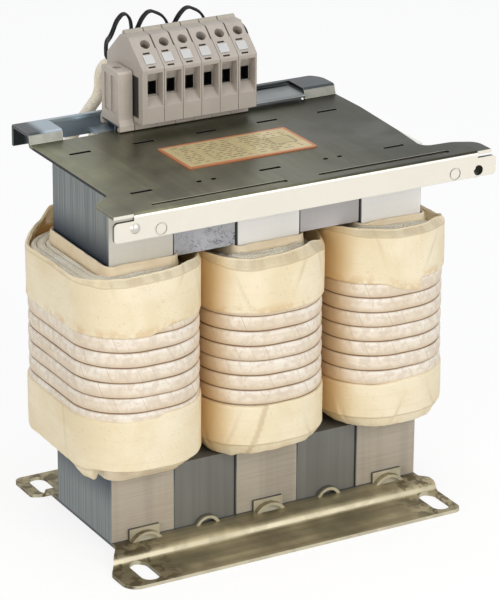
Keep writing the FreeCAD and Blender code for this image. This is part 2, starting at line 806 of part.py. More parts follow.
def cage(x, depth, window_low, window_height):
    """Screw clamp cage: a short square steel sleeve in its chamber."""
    y0 = terminal_front + depth + cage_play
    y1 = terminal_front + depth + cage_length
    half = cage_width / 2 - cage_play
    z0 = terminal_base + window_low
    z1 = z0 + window_height - cage_play
    outer = box(x - half, x + half, y0, y1, z0, z1)
    inner = box(x - half + cage_wall, x + half - cage_wall, y0 - 1, y1 + 1, z0 + cage_wall, z1 - cage_wall)
    return outer.cut(inner)


def clamp_screw(x):
    """Slotted screw head at the bottom of its hole in the slope."""
    y, z = on_slope(screw_along_slope, screw_hole_depth - 2.2)
    head = Part.makeCylinder(screw_radius, 2.2, Vector(x + screw_offset, y, z), into_slope)
    slot = slope_box(x + screw_offset, screw_along_slope, screw_slot, 3 * screw_radius,
                     screw_hole_depth - 3.0, screw_hole_depth - 1.2)
    return head.cut(slot)


def marker_ridge(x0, x1):
    """Half-round marker carrier clipped along the roof."""
    return Part.makeCylinder(ridge_radius, x1 - x0 - ridge_gap,
                             Vector(x0 + ridge_gap / 2, rail_centre + ridge_back, terminal_top - ridge_sink),
                             Vector(1, 0, 0))


terminal_centres = [row_left + (number + 0.5) * terminal_pitch for number in range(terminal_count)]
half_block = (terminal_pitch - terminal_play) / 2
for number, x in enumerate(terminal_centres):
    save("terminal_block_" + str(number + 1), housing(x - half_block, x + half_block))
front_cages = [cage(x, *front_entry) for x in terminal_centres]
rear_cages = [mirrored_back(cage(x, *rear_entry)) for x in terminal_centres]
save("clamp_cages", Part.makeCompound(front_cages + rear_cages))
front_screws = [clamp_screw(x) for x in terminal_centres]
save("clamp_screws", Part.makeCompound(front_screws + [mirrored_back(item) for item in front_screws]))
save("marker_tags", Part.makeCompound([
    slope_box(x + tag_offset, tag_along_slope, tag_width - 0.4, tag_height - 0.4,
              tag_seat - tag_thickness, tag_seat)
    for x in terminal_centres]))
save("marker_carriers", Part.makeCompound([marker_ridge(x - half_block, x + half_block)
                                           for x in terminal_centres]))

# End plate closes the open side of the first housing
save("terminal_end_plate", housing_section(row_left - end_plate_thickness, row_left))


# End bracket clamps on the rail and holds the row together
def end_bracket():
    right = bracket_right
    left = right - bracket_width
    half = bracket_depth / 2
    top = rail_top + bracket_height
    low = plate_top + 0.4
    under = rail_top - rail_sheet - 0.1
    grip = rail_width / 2 + 0.1
    hook = half + hook_reach
    points = [(-half, top), (-half, rail_top + 3), (-hook, rail_top), (-hook, low), (-grip + 1.6, low),
              (-grip + 1.6, under), (-grip, under), (-grip, rail_top),
              (grip, rail_top), (grip, under), (grip - 1.6, under), (grip - 1.6, low), (hook, low),
              (hook, rail_top), (half, rail_top + 3), (half, top)]
    radii = [1.5, 0, 0, 0.8, 0, 0, 0, 0, 0, 0, 0, 0, 0.8, 0, 0, 1.5]
    body = side_prism([(rail_centre + y, z) for y, z in points], radii, left, right)
    panel = box(left - 1, left + bracket_panel, rail_centre - half + 3.5, rail_centre - 1.0,
                rail_top + 6, top - 3.5)
    panel_back = box(left - 1, left + bracket_panel, rail_centre + 1.0, rail_centre + half - 3.5,
                     rail_top + 6, top - 3.5)
    screw_well = Part.makeCylinder(2.6, 9, Vector((left + right) / 2, rail_centre, top - 8), Vector(0, 0, 1))
    return without(body, [panel, panel_back, screw_well])


save("end_bracket", end_bracket())
bracket_x = bracket_right - bracket_width / 2
bracket_top = rail_top + bracket_height
bracket_screw = Part.makeCylinder(2.5, 3.0, Vector(bracket_x, rail_centre, bracket_top - 8), Vector(0, 0, 1))
bracket_slot = box(bracket_x - 0.4, bracket_x + 0.4, rail_centre - 3, rail_centre + 3,
                   bracket_top - 6.0, bracket_top - 4)
save("bracket_screw", bracket_screw.cut(bracket_slot))

# Coil leads: sleeved wire from the top of each coil, up behind the rear flange, into a terminal
lead_entry_z = terminal_base + rear_window_low + rear_cage_height / 2
row_back = 2 * rail_centre - terminal_front
lead_inner_y = row_back - lead_end_depth
lead_clear_y = shelf_back + lead_diameter
lead_start_y = half_depth + (coil_half_depth - half_depth) * 0.62
lead_start_z = core_bottom + coil_top - winding_recess
lead_heights = [lead_start_z + share * (lead_entry_z - lead_start_z) for share in lead_climb]


def lead_route(coil_x, side, terminal_x, bow):
    """Points from the coil's rear rim, back under the frame, up and over into the terminal."""
    start_x = coil_x + side * lead_offset
    far_y = lead_clear_y + lead_back
    return [
        (start_x, lead_start_y, lead_start_z),
        (start_x, lead_start_y, lead_heights[0]),
        (start_x * 0.92 + terminal_x * 0.08, lead_start_y + 12.0, lead_heights[1]),
        (start_x * 0.45 + terminal_x * 0.55, far_y - 6.0, lead_heights[2]),
        (terminal_x + bow, far_y, lead_heights[3]),
        (terminal_x + bow, far_y, lead_entry_z - lead_bend),
        (terminal_x + bow * 0.75, far_y - lead_bend, lead_entry_z + lead_arch),
        (terminal_x, row_back - 2.5, lead_entry_z),
        (terminal_x, lead_inner_y, lead_entry_z),
    ]


number = 0
for side_name, coil_x in leg_places.items():
    for side, end_name in ((-1.0, "start"), (1.0, "end")):
        route = lead_route(coil_x, side, terminal_centres[number], lead_bows[number])
        lead = tube_along(route, lead_diameter, "lead " + side_name + " " + end_name)
        save("coil_lead_" + side_name + "_" + end_name, lead)
        number += 1

# Sensor wires: thin black pairs that arch over the roof from one rear entry to the next
wire_end_y = row_back - wire_end_depth
wire_end_z = lead_entry_z + (lead_diameter + wire_diameter) / 2 + wire_gap + wire_lift
entry_side = terminal_pitch / 2 - terminal_play / 2 - entry_wall - wire_diameter / 2 - wire_gap
beside_lead = (lead_diameter + wire_diameter) / 2 + wire_gap


def wire_arch(ends, feet, peak, out):
    """Points of one arch: out of a rear entry, up over the ridge and down into another."""
    wall = row_back + wire_diameter
    ridge_y = rail_centre + ridge_back + ridge_radius + wire_diameter * 2
    low_z = terminal_top - 4.0
    peak_x, peak_z = peak
    legs = []
    for end_x, foot_x, side in ((ends[0], feet[0], -1.0), (ends[1], feet[1], 1.0)):
        steep = peak_x + side * max(abs(foot_x - peak_x), arch_half_width)
        legs.append([
            (end_x, wire_end_y, wire_end_z - out), (end_x, row_back + 0.6, wire_end_z - out),
            (foot_x, wall + 2.0 + out, wire_end_z + 1.0 - out),
            (foot_x, wall + 2.2 + out, wire_end_z + 8.0 + out * 0.5),
            (steep, ridge_y + 4.0 + out * 0.85, low_z + out * 0.5),
            (steep * 0.65 + peak_x * 0.35, ridge_y + 1.5 + out, peak_z - 5.0 + out * 0.3),
        ])
    return legs[0] + [(peak_x, ridge_y + 0.5 + out, peak_z)] + legs[1][::-1]


# Each arch: its two terminals, how far its left foot stands out, and how far right its peak is
arches = [(0, 0, 1.8, -2.0), (1, 2, 0.0, 2.0), (3, 4, 0.0, 2.5)]
for number, (first, last, stand_out, lean) in enumerate(arches):
    left = terminal_centres[first]
    right = terminal_centres[last]
    peak = (left + lean, terminal_top + wire_peaks[number])
    for strand, name in enumerate(("a", "b")):
        ends = (left - entry_side, right + entry_side)
        feet = (left - beside_lead - stand_out, right + beside_lead)
        route = wire_arch(ends, feet, peak, strand * wire_pair_step)
        wire = tube_along(route, wire_diameter, "sensor wire " + str(number + 1) + name)
        save("sensor_wire_" + str(number + 1) + name, wire)

# The last sensor wire runs over the end of the row, then down beside the last lead to the right coil
row_right = row_left + terminal_count * terminal_pitch
tail_start = terminal_centres[5] + entry_side
beside_row = row_right + wire_diameter / 2 + wire_gap
last_lead = lead_route(leg_pitch, 1.0, terminal_centres[5], lead_bows[5])


def beside_last_lead(index, back, up):
    x, y, z = last_lead[index]
    return x + wire_beside_lead, y + back, z + up


tail_route = [
    (tail_start, wire_end_y, wire_end_z), (tail_start, row_back + 1.6, wire_end_z),
    (tail_start + 1.6, row_back + 3.5, wire_end_z + 6.0),
    (beside_row, rail_centre + 15.0, terminal_top - 9.0),
    (beside_row + 0.2, rail_centre + 3.0, terminal_top - 1.6),
    (beside_row + 0.2, rail_centre - 9.0, terminal_top - 6.0),
    (beside_row + 1.0, rail_centre - 8.0, terminal_top - 18.0),
    (beside_row + 3.0, rail_centre + 6.0, terminal_top - 32.0),
    beside_last_lead(4, -6.0, 4.0), beside_last_lead(3, 2.0, 5.0), beside_last_lead(2, 2.0, 5.0),
    beside_last_lead(1, 0.0, 2.0), beside_last_lead(0, 0.0, 0.0),
]
save("sensor_wire_4", tube_along(tail_route, wire_diameter, "sensor wire 4"))
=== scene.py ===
import math

import bmesh
import bpy
from mathutils import Matrix, Vector, noise


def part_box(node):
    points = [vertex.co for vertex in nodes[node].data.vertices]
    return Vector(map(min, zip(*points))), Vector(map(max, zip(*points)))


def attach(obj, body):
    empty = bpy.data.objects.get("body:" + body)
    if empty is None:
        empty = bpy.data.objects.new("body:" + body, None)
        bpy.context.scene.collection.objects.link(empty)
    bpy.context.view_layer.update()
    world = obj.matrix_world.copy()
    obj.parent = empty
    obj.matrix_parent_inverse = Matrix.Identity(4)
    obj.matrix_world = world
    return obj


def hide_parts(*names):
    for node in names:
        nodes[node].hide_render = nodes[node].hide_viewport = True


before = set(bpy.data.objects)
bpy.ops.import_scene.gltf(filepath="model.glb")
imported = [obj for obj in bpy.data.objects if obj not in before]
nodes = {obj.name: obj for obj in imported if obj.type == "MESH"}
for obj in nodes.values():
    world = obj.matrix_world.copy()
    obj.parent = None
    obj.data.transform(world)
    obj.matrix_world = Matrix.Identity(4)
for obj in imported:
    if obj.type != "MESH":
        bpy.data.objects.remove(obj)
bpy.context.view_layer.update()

# Floor, light and camera
# A plain pale floor with soft daylight from lamps in front, above and at the left.
# The camera stands where the photograph was taken, in front, to the left and above.


def add(tree, kind, settings=None, **inputs):
    """A shader node with its settings, and its inputs set to a value or linked to a node's output."""
    node = tree.nodes.new("ShaderNode" + kind)
    for key, value in (settings or {}).items():
        setattr(node, key, value)
    for key, value in inputs.items():
        fill(tree, node.inputs[key], value)
    return node


def fill(tree, socket, value):
    if isinstance(value, bpy.types.NodeSocket):
        tree.links.new(value, socket)
    elif socket.type == "RGBA" and len(value) == 3:
        socket.default_value = (*value, 1.0)
    else:
        socket.default_value = value


def material_with_shader(name):
    """A new material with only its Principled shader, which the section then fills."""
    material = bpy.data.materials.new(name)
    material.use_nodes = True
    tree = material.node_tree
    return material, tree, tree.nodes["Principled BSDF"]


def maths(tree, operation, first, second=0.0, clamp=False):
    node = add(tree, "Math", {"operation": operation, "use_clamp": clamp})
    fill(tree, node.inputs[0], first)
    fill(tree, node.inputs[1], second)
    return node.outputs[0]


def times(tree, first, *others):
    for other in others:
        first = maths(tree, "MULTIPLY", first, other)
    return first


def blend(tree, share, first, second, mode="MIX"):
    node = add(tree, "Mix", {"data_type": "RGBA", "blend_type": mode})
    fill(tree, node.inputs[0], share)
    fill(tree, node.inputs[6], first)
    fill(tree, node.inputs[7], second)
    return node.outputs[2]


def between(tree, value, low, high, out_low=0.0, out_high=1.0):
    """A smooth ramp: out_low below low and out_high above high."""
    node = add(tree, "MapRange", {"interpolation_type": "SMOOTHSTEP"}, Value=value)
    for index, number in enumerate((low, high, out_low, out_high)):
        node.inputs[index + 1].default_value = number
    return node.outputs[0]


def seen_or_mirrored(tree):
    """1 for what the camera sees, also in metal or through a clear thing, and 0 for the light itself."""
    rays = add(tree, "LightPath").outputs
    seen = maths(tree, "ADD", rays["Is Camera Ray"], rays["Is Glossy Ray"])
    return maths(tree, "ADD", seen, rays["Is Transmission Ray"], clamp=True)


def put_in_scene(name, data):
    thing = bpy.data.objects.new(name, data)
    bpy.context.scene.collection.objects.link(thing)
    return thing


def piece_from(name, shape, materials):
    """A finished bmesh as an object at the origin, with its materials."""
    piece = put_in_scene(name, bpy.data.meshes.new(name))
    shape.to_mesh(piece.data)
    shape.free()
    for material in materials:
        piece.data.materials.append(material)
    return piece


white = (1.0, 1.0, 1.0)
floor_material, tree, shader = material_with_shader("pale floor")
fill(tree, shader.inputs["Base Color"], (0.9, 0.9, 0.9))
fill(tree, shader.inputs["Roughness"], 0.9)
fill(tree, shader.inputs["Specular IOR Level"], 0.1)
paleness = 0.8
pale = add(tree, "Emission", Color=white, Strength=1.055)
lift = add(tree, "MixShader", Fac=times(tree, seen_or_mirrored(tree), paleness))
fill(tree, lift.inputs[1], shader.outputs[0])
fill(tree, lift.inputs[2], pale.outputs[0])
fill(tree, tree.nodes["Material Output"].inputs["Surface"], lift.outputs[0])
floor_mesh = bmesh.new()
bmesh.ops.create_grid(floor_mesh, x_segments=2, y_segments=2, size=6.0)
floor = piece_from("floor", floor_mesh, [floor_material])

world = bpy.data.worlds.new("studio")
world.use_nodes = True
bpy.context.scene.world = world
tree = world.node_tree
seen = seen_or_mirrored(tree)
glow = tree.nodes["Background"]
skylight, sky_strength = (0.92, 0.95, 1.0), 0.42
fill(tree, glow.inputs["Color"], blend(tree, seen, skylight, white))
fill(tree, glow.inputs["Strength"], between(tree, seen, 0.0, 1.0, sky_strength, 1.0))
lamp_aim = Vector((0.0, 0.0, 0.12))


def soft_lamp(name, spot, width, power, colour):
    lamp = bpy.data.lights.new(name, "AREA")
    lamp.shape = "SQUARE"
    lamp.size = width
    lamp.energy = power
    lamp.color = colour
    away = (Vector(spot) - lamp_aim).normalized()
    turned = away.to_track_quat("Z", "Y").to_matrix().to_4x4()
    put_in_scene(name, lamp).matrix_world = Matrix.Translation(spot) @ turned


soft_lamp("front lamp", (0.45, -1.7, 0.95), 1.1, 16.0, (1.0, 0.98, 0.95))
soft_lamp("left lamp", (-1.5, -0.75, 0.6), 0.9, 9.5, (1.0, 0.95, 0.88))
soft_lamp("top lamp", (0.1, 0.2, 1.7), 0.9, 6.0, white)

camera_turn = math.radians(29.48)
camera_rise = math.radians(21.436)
camera_roll = math.radians(0.35)
camera_distance = 1.774
camera_aim = Vector((-0.01198, -0.034, 0.13722))
view = Vector((math.sin(camera_turn) * math.cos(camera_rise),
               math.cos(camera_turn) * math.cos(camera_rise), -math.sin(camera_rise)))
right = view.cross(Vector((0, 0, 1))).normalized()
right = Matrix.Rotation(camera_roll, 3, -view) @ right
up = right.cross(view)
lens = bpy.data.cameras.new("camera")
lens.sensor_width = 36.0
lens.lens = 190.39
lens.clip_end = 50.0
camera = put_in_scene("camera", lens)
turned = Matrix((right, up, -view)).transposed().to_4x4()
camera.matrix_world = Matrix.Translation(camera_aim - view * camera_distance) @ turned
bpy.context.scene.camera = camera
bpy.context.scene.view_settings.view_transform = "Standard"

# Core legs and yoke blocks
# Each is a stack of thin grain-oriented steel sheets. The outermost sheet shows its rolled face
# in front, and the cut edges of all the sheets show as upright streaks at the sides.


def new_group(name, inputs, outputs):
    """An empty shader group, its inputs with their first values, and its outputs."""
    group = bpy.data.node_groups.new(name, "ShaderNodeTree")
    for label, value in inputs.items():
        kind = "NodeSocketFloat" if isinstance(value, float) else "NodeSocketVector"
        group.interface.new_socket(label, in_out="INPUT", socket_type=kind).default_value = value
    for label in outputs:
        group.interface.new_socket(label, in_out="OUTPUT", socket_type="NodeSocketFloat")
    return group, group.nodes.new("NodeGroupInput").outputs, group.nodes.new("NodeGroupOutput").inputs


def place(tree, group, **inputs):
    return add(tree, "Group", {"node_tree": group}, **inputs).outputs


def spot_on(tree, kind="Object"):
    return add(tree, "TexCoord").outputs[kind]


def axes(tree, kind="Object"):
    """The three parts of each point's place, or of its Normal or UV."""
    return add(tree, "SeparateXYZ", Vector=spot_on(tree, kind)).outputs


def distance(tree, value, middle=0.0):
    """How far a value is from the middle one, to either side."""
    if middle != 0.0:
        value = maths(tree, "SUBTRACT", value, middle)
    return maths(tree, "ABSOLUTE", value)


def vector_maths(tree, operation, first, second):
    node = add(tree, "VectorMath", {"operation": operation})
    fill(tree, node.inputs[0], first)
    fill(tree, node.inputs[1], second)
    return node.outputs


def set_finish(tree, shader, colour, roughness, relief, strength, depth, metallic=0.0):
    """Gives the shader its colour, roughness and metal, and a bump made from the relief."""
    bump = add(tree, "Bump", Strength=strength, Distance=depth, Height=relief)
    for label, value in (("Base Color", colour), ("Roughness", roughness), ("Metallic", metallic),
                         ("Normal", bump.outputs[0])):
        fill(tree, shader.inputs[label], value)


# Streaks run along the axis that has the small stretch value
streaks, given, result = new_group(
    "rolled streaks", {"Stretch": (40.0, 40.0, 2000.0), "Roughness": 0.6}, ("Value", "Fine"))
stretched = vector_maths(streaks, "MULTIPLY", spot_on(streaks), given["Stretch"])[0]
broad = add(streaks, "TexNoise", Vector=stretched, Scale=0.35, Detail=4.0,
            Roughness=given["Roughness"])
fine = add(streaks, "TexNoise", Vector=stretched, Scale=1.6, Detail=2.0, Roughness=0.7)
fill(streaks, result["Value"], broad.outputs[0])
fill(streaks, result["Fine"], fine.outputs[0])

# Cloudy patches of oxide, oil and finger marks
patches, given, result = new_group("cloudy patches", {"Scale": 30.0, "Seed": 0.0}, ("Value", "Specks"))
shifted = vector_maths(patches, "ADD", spot_on(patches), given["Seed"])[0]
cloud = add(patches, "TexNoise", Vector=shifted, Scale=given["Scale"], Detail=5.0, Roughness=0.55,
            Distortion=0.4)
speck = add(patches, "TexNoise", Vector=shifted, Scale=900.0, Detail=2.0)
fill(patches, result["Value"], between(patches, cloud.outputs[0], 0.32, 0.68))
fill(patches, result["Specks"], between(patches, speck.outputs[0], 0.60, 0.74))


def mottled(tree, scale, seed=0.0):
    return place(tree, patches, Scale=scale, Seed=seed)["Value"]


# Heights of the faces' painted reflection, darker below and pale above, and where the painted top highlight
# starts
face_below, face_above = 0.05, 0.17
top_highlight_from = 0.14
coil_middle = 0.110


def core_material(name, low_colour, high_colour, grain, marks=0.0):
    """Sheet steel: the face colour changes with height as a painted reflection, and the cut edges are
    dark and streaked, partly their own tone and partly painted reflection, with painted shade darkest
    next to the coils. The marks are pen and scratch marks from the stacking bench."""
    material, tree, shader = material_with_shader(name)
    side = between(tree, distance(tree, axes(tree, "Normal")["X"]), 0.4, 0.8)
    height = axes(tree)["Z"]
    # Painted reflection: the face is darker low down and pale higher up
    face = blend(tree, between(tree, height, face_below, face_above), low_colour, high_colour)
    face_grain = place(tree, streaks, Stretch=grain)
    upright = place(tree, streaks, Stretch=(260.0, 40.0, 9.0), Roughness=0.5)
    cloud = mottled(tree, 26.0)
    for share, tint in ((between(tree, face_grain["Value"], 0.30, 0.75, 0.0, 0.22), (0.42, 0.38, 0.32)),
                        (between(tree, upright["Value"], 0.45, 0.62, 0.0, 0.30), (0.62, 0.62, 0.64)),
                        (times(tree, cloud, 0.22), (0.70, 0.66, 0.60))):
        face = blend(tree, share, face, tint, "MULTIPLY")
    # Painted highlight near the top of each face
    face = blend(tree, between(tree, height, top_highlight_from, face_above, 0.0, 0.8), face, high_colour)
    if marks > 0.0:
        scrawl = add(tree, "TexNoise", Vector=spot_on(tree), Scale=150.0, Detail=3.0,
                     Distortion=1.6)
        patchy = mottled(tree, 70.0, 2.0)
        line = between(tree, distance(tree, scrawl.outputs[0], 0.5), 0.022, 0.008)
        face = blend(tree, times(tree, patchy, 0.45), face, (0.55, 0.60, 0.70), "MULTIPLY")
        face = blend(tree, times(tree, line, patchy, marks), face, (0.02, 0.02, 0.025))
    sheets = place(tree, streaks, Stretch=(0.0, 2200.0, 3.0), Roughness=0.6)
    # The cut edges' dark blue grey is partly their own tone and partly a painted reflection
    edge = blend(tree, between(tree, sheets["Value"], 0.30, 0.70), (0.085, 0.11, 0.135), (0.27, 0.29, 0.27))
    edge = blend(tree, between(tree, sheets["Fine"], 0.45, 0.72, 0.0, 0.5), edge, (0.44, 0.44, 0.40))
    # Painted shade: the cut edges darken next to the coils, unevenly from sheet to sheet
    uneven = times(tree, sheets["Value"], 0.016)
    from_coil = maths(tree, "SUBTRACT", distance(tree, height, coil_middle), uneven)
    edge = blend(tree, between(tree, from_coil, 0.078, 0.050), edge, (0.022, 0.035, 0.062))
    set_finish(tree, shader, blend(tree, side, face, edge), blend(tree, side, [0.42] * 3, [0.52] * 3),
               blend(tree, side, face_grain["Fine"], sheets["Fine"]), 0.15, 0.0002,
               blend(tree, side, [0.06] * 3, [0.75] * 3))
    return material


def dress(node_name, material):
    """Gives a CAD node its finish."""
    slots = nodes[node_name].data.materials
    slots.clear()
    slots.append(material)


fine_grain, coarse_grain = (60.0, 60.0, 3000.0), (900.0, 60.0, 14.0)
# Legs and yokes are the same steel: their different face colours are painted reflection, and the left leg's
# darker top is painted shade from the front strip
leg_steel = core_material("leg sheets", (0.47, 0.415, 0.335), (1.0, 0.99, 0.95), fine_grain)
strip_shaded_leg_steel = core_material("left leg sheets", (0.49, 0.43, 0.345), (0.79, 0.76, 0.675), fine_grain)
yoke_low_colour = (0.185, 0.185, 0.165)
yoke_steel = core_material("yoke sheets", yoke_low_colour, (0.52, 0.50, 0.49), coarse_grain)
marked_steel = core_material("marked yoke sheets", yoke_low_colour, (0.52, 0.52, 0.54), coarse_grain, 0.85)
sides = ("left", "middle", "right")
for side in sides:
    dress("core_leg_" + side, strip_shaded_leg_steel if side == "left" else leg_steel)
blocks = [level + "_" + side for level in ("lower", "upper") for side in ("left", "right")]
for block in blocks:
    dress("yoke_" + block, marked_steel if block == "upper_left" else yoke_steel)

# Gap cards
# Dark pressboard strips between the right end of each yoke block and the leg beside it. The
# clamped core holds them.

gap_board, tree, shader = material_with_shader("gap card")
cloud = place(tree, patches, Scale=120.0)
colour = blend(tree, cloud["Value"], (0.010, 0.009, 0.008), (0.022, 0.019, 0.016))
set_finish(tree, shader, colour, 0.85, cloud["Specks"], 0.3, 0.0002)
for block in blocks:
    dress("gap_sheet_" + block, gap_board)

# Coil formers
# Tubes of wound card slipped over the legs. Their upper ends stand out of the windings,
# cream coloured, drawn in to the leg at the top and bulged below, in front and behind.

leg_places = {"left": -0.080, "middle": 0.0, "right": 0.080}
# How far apart the points of a ring are round it, and its rows before they are moved into place
facet, row_gap = 0.0013, 0.001


def oval_rows(half_width, half_depth, corner, rows):
    """A rounded oval outline drawn up into rows of points, one above the other.
    Also gives how far round each point of the outline is, and how far it is all round."""
    ring = bmesh.new()
    bmesh.ops.create_circle(ring, cap_ends=True, segments=4, radius=math.sqrt(2.0))
    bmesh.ops.rotate(ring, verts=ring.verts, cent=(0, 0, 0), matrix=Matrix.Rotation(math.pi / 4, 3, "Z"))
    bmesh.ops.scale(ring, verts=ring.verts, vec=(half_width, half_depth, 1.0))
    steps = max(6, round(corner * math.pi / 2 / facet))
    bmesh.ops.bevel(ring, geom=ring.verts[:], offset=corner, offset_type="OFFSET", affect="VERTICES",
                    segments=steps, profile=0.5, material=-1)
    bmesh.ops.delete(ring, geom=ring.faces[:], context="FACES_ONLY")
    for level_axis, length in ((1, half_width - corner), (0, half_depth - corner)):
        runs = [edge for edge in ring.edges if abs(edge.calc_length() - 2 * length) < 1e-5
                and abs(edge.verts[0].co[level_axis] - edge.verts[1].co[level_axis]) < 1e-7]
        bmesh.ops.subdivide_edges(ring, edges=runs, cuts=2 * max(1, round(length / facet)) - 1)
    lengths = {}
    start = max(ring.verts, key=lambda point: (round(point.co.y, 6), -abs(point.co.x)))
    edge = max(start.link_edges, key=lambda item: item.other_vert(start).co.x)
    point, walked = start, 0.0
    while walked == 0.0 or point is not start:
        lengths[(round(point.co.x, 6), round(point.co.y, 6))] = walked
        walked += edge.calc_length()
        point = edge.other_vert(point)
        edge = next(item for item in point.link_edges if item is not edge)
    bmesh.ops.spin(ring, geom=ring.verts[:] + ring.edges[:], cent=(0, 0, 0), axis=(0, 0, 1),
                   dvec=(0, 0, row_gap), angle=0.0, steps=rows - 1)
    return ring, lengths, walked


def wind_round(name, centre, outline, section, shift, materials, choose=None):
    """A closed ring round one leg. The section gives (out, height) points in millimetres, once round.
    The shift gives each point's own small move out and up, and two values for the shader.
    Round the ring, the share goes from 0 behind, by 0.25 at the right and 0.5 in front, to 1."""
    half_width, half_depth, corner = outline
    ring, lengths, girth = oval_rows(*outline, len(section))
    climbed = [0.0]
    for before, after in zip(section, section[1:]):
        climbed.append(climbed[-1] + math.dist(before, after) / 1000)
    # Each point also holds painted shade for grooves, seams and folds, and a second value for the shader
    level, travel, groove_shade, turn = [ring.verts.layers.float.new(label)
                                   for label in ("level", "travel", "groove_shade", "turn")]
    for point in ring.verts:
        row = round(point.co.z / row_gap)
        out, height = section[row]
        inside = Vector((max(corner - half_width, min(half_width - corner, point.co.x)),
                         max(corner - half_depth, min(half_depth - corner, point.co.y)), 0.0))
        normal = (Vector((point.co.x, point.co.y, 0.0)) - inside).normalized()
        travelled = lengths[(round(point.co.x, 6), round(point.co.y, 6))]
        more_out, more_up, point[groove_shade], point[turn] = shift(
            travelled / girth, out, height, normal, point.co)
        point[level] = row
        point[travel] = travelled
        moved = (out + more_out) / 1000
        point.co.x += normal.x * moved + centre
        point.co.y += normal.y * moved
        point.co.z = (height + more_up) / 1000
    flat = ring.loops.layers.uv.new("UVMap")
    for face in ring.faces:
        turns = [loop.vert[travel] for loop in face.loops]
        for loop in face.loops:
            round_it = loop.vert[travel]
            if max(turns) - min(turns) > girth / 2 and round_it < girth / 2:
                round_it += girth
            loop[flat].uv = (round_it, climbed[round(loop.vert[level])])
        lowest_row = min(round(loop.vert[level]) for loop in face.loops)
        face.material_index = choose(*section[lowest_row]) if choose else 0
        face.smooth = True
    bmesh.ops.remove_doubles(ring, verts=ring.verts, dist=1e-6)
    bmesh.ops.recalc_face_normals(ring, faces=ring.faces)
    piece = piece_from(name, ring, materials)
    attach(piece, "root")
    return piece


def ripple(spot, size, seed=0.0):
    """Smooth random unevenness from about -1 to 1, with bumps about size millimetres long."""
    return noise.noise(Vector(spot) * (1000.0 / size) + Vector((seed, seed * 0.7, -seed)))


def ease(value, low, high):
    share = max(0.0, min(1.0, (value - low) / (high - low)))
    return share * share * (3 - 2 * share)


def rows_up(out, low, high, step):
    """Points of a section straight up, or down, about a step apart."""
    count = max(1, round(abs(high - low) / step))
    return [(out, low + (high - low) * number / count) for number in range(count + 1)]


# Long soft lines round the coil, where tape or paper was pulled tight, from the same map
pulled, given, result = new_group("pulled lines", {"Stretch": (12.0, 900.0, 1.0)}, ("Value",))
stretched = vector_maths(pulled, "MULTIPLY", spot_on(pulled, "UV"), given["Stretch"])[0]
lines = add(pulled, "TexNoise", Vector=stretched, Scale=1.0, Detail=3.0)
fill(pulled, result["Value"], lines.outputs[0])


def painted(tree, label):
    """A value that the piece holds at each of its points."""
    return add(tree, "Attribute", {"attribute_name": label}).outputs["Fac"]


former_card, tree, shader = material_with_shader("former card")
cloud = mottled(tree, 60.0, 5.0)
line = place(tree, pulled, Stretch=(20.0, 1400.0, 1.0))["Value"]
colour = blend(tree, cloud, (0.92, 0.80, 0.60), (0.84, 0.70, 0.48))
colour = blend(tree, between(tree, line, 0.4, 0.7, 0.0, 0.25), colour, (0.62, 0.48, 0.30))
# Painted shade in the groove between the card's layers at the top
colour = blend(tree, times(tree, painted(tree, "groove_shade"), 0.7), colour, (0.30, 0.20, 0.10))
set_finish(tree, shader, colour, 0.75, line, 0.35, 0.0003)

# Half width, half depth and corner radius of the tube in metres, and its section in millimetres
former_outline = (0.0235, 0.0405, 0.0095)
former_section = (rows_up(0.0, 47.2, 150.0, 12.0) + rows_up(0.0, 152.0, 169.4, 0.7)
                  + [(-0.3, 170.0), (-0.75, 170.1), (-0.9, 169.5), (-1.05, 169.8), (-1.45, 169.7),
                     (-1.6, 169.0)]
                  + rows_up(-1.7, 167.0, 150.0, 5.0) + rows_up(-2.5, 140.0, 47.2, 30.0) + [(0.0, 47.2)])
former_rise = {"left": 3.4, "middle": 1.6, "right": 0.8}
most_bulge = 0.4
for number, (side, centre) in enumerate(leg_places.items()):
    def uneven_card(share, out, height, normal, place_now):
        spot_now = Vector((place_now.x, place_now.y, 0.0))
        wavy = former_rise[side] + 0.5 * ripple(spot_now, 26, number * 9.1) + 0.2 * ripple(spot_now, 8, 3.0)
        drawn_in = (0.9 + 3.4 * abs(normal.y) ** 6) * ease(height, 161.0, 170.5)
        bulge = 0.45 * ripple(spot_now, 22, number * 5.3) * ease(height, 150.0, 165.0)
        layer = 1.0 if -1.1 < out < -0.8 and height > 169.0 else 0.0
        return min(bulge, most_bulge) - drawn_in, ease(height, 156.0, 169.0) * wavy, layer, 0.0

    card = wind_round("former_" + side, centre, former_outline, former_section, uneven_card, [former_card])
    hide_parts("coil_former_" + side)

# Windings
# Flat copper wire, each turn wrapped in lapped paper, wound in level turns. Above, the ends of
# the layers show in woven fibre tape. Each coil was wound with its turns at its own heights.

# Each coil's highest line between turns, the height of a turn, and how much slimmer the coil is
# at the right, in millimetres
top_line = {"left": 137.5, "middle": 134.6, "right": 139.6}
turn_pitch = {"left": 9.0, "middle": 8.86, "right": 8.88}
narrower_right = {"left": 0.6, "middle": 1.8, "right": 1.9}

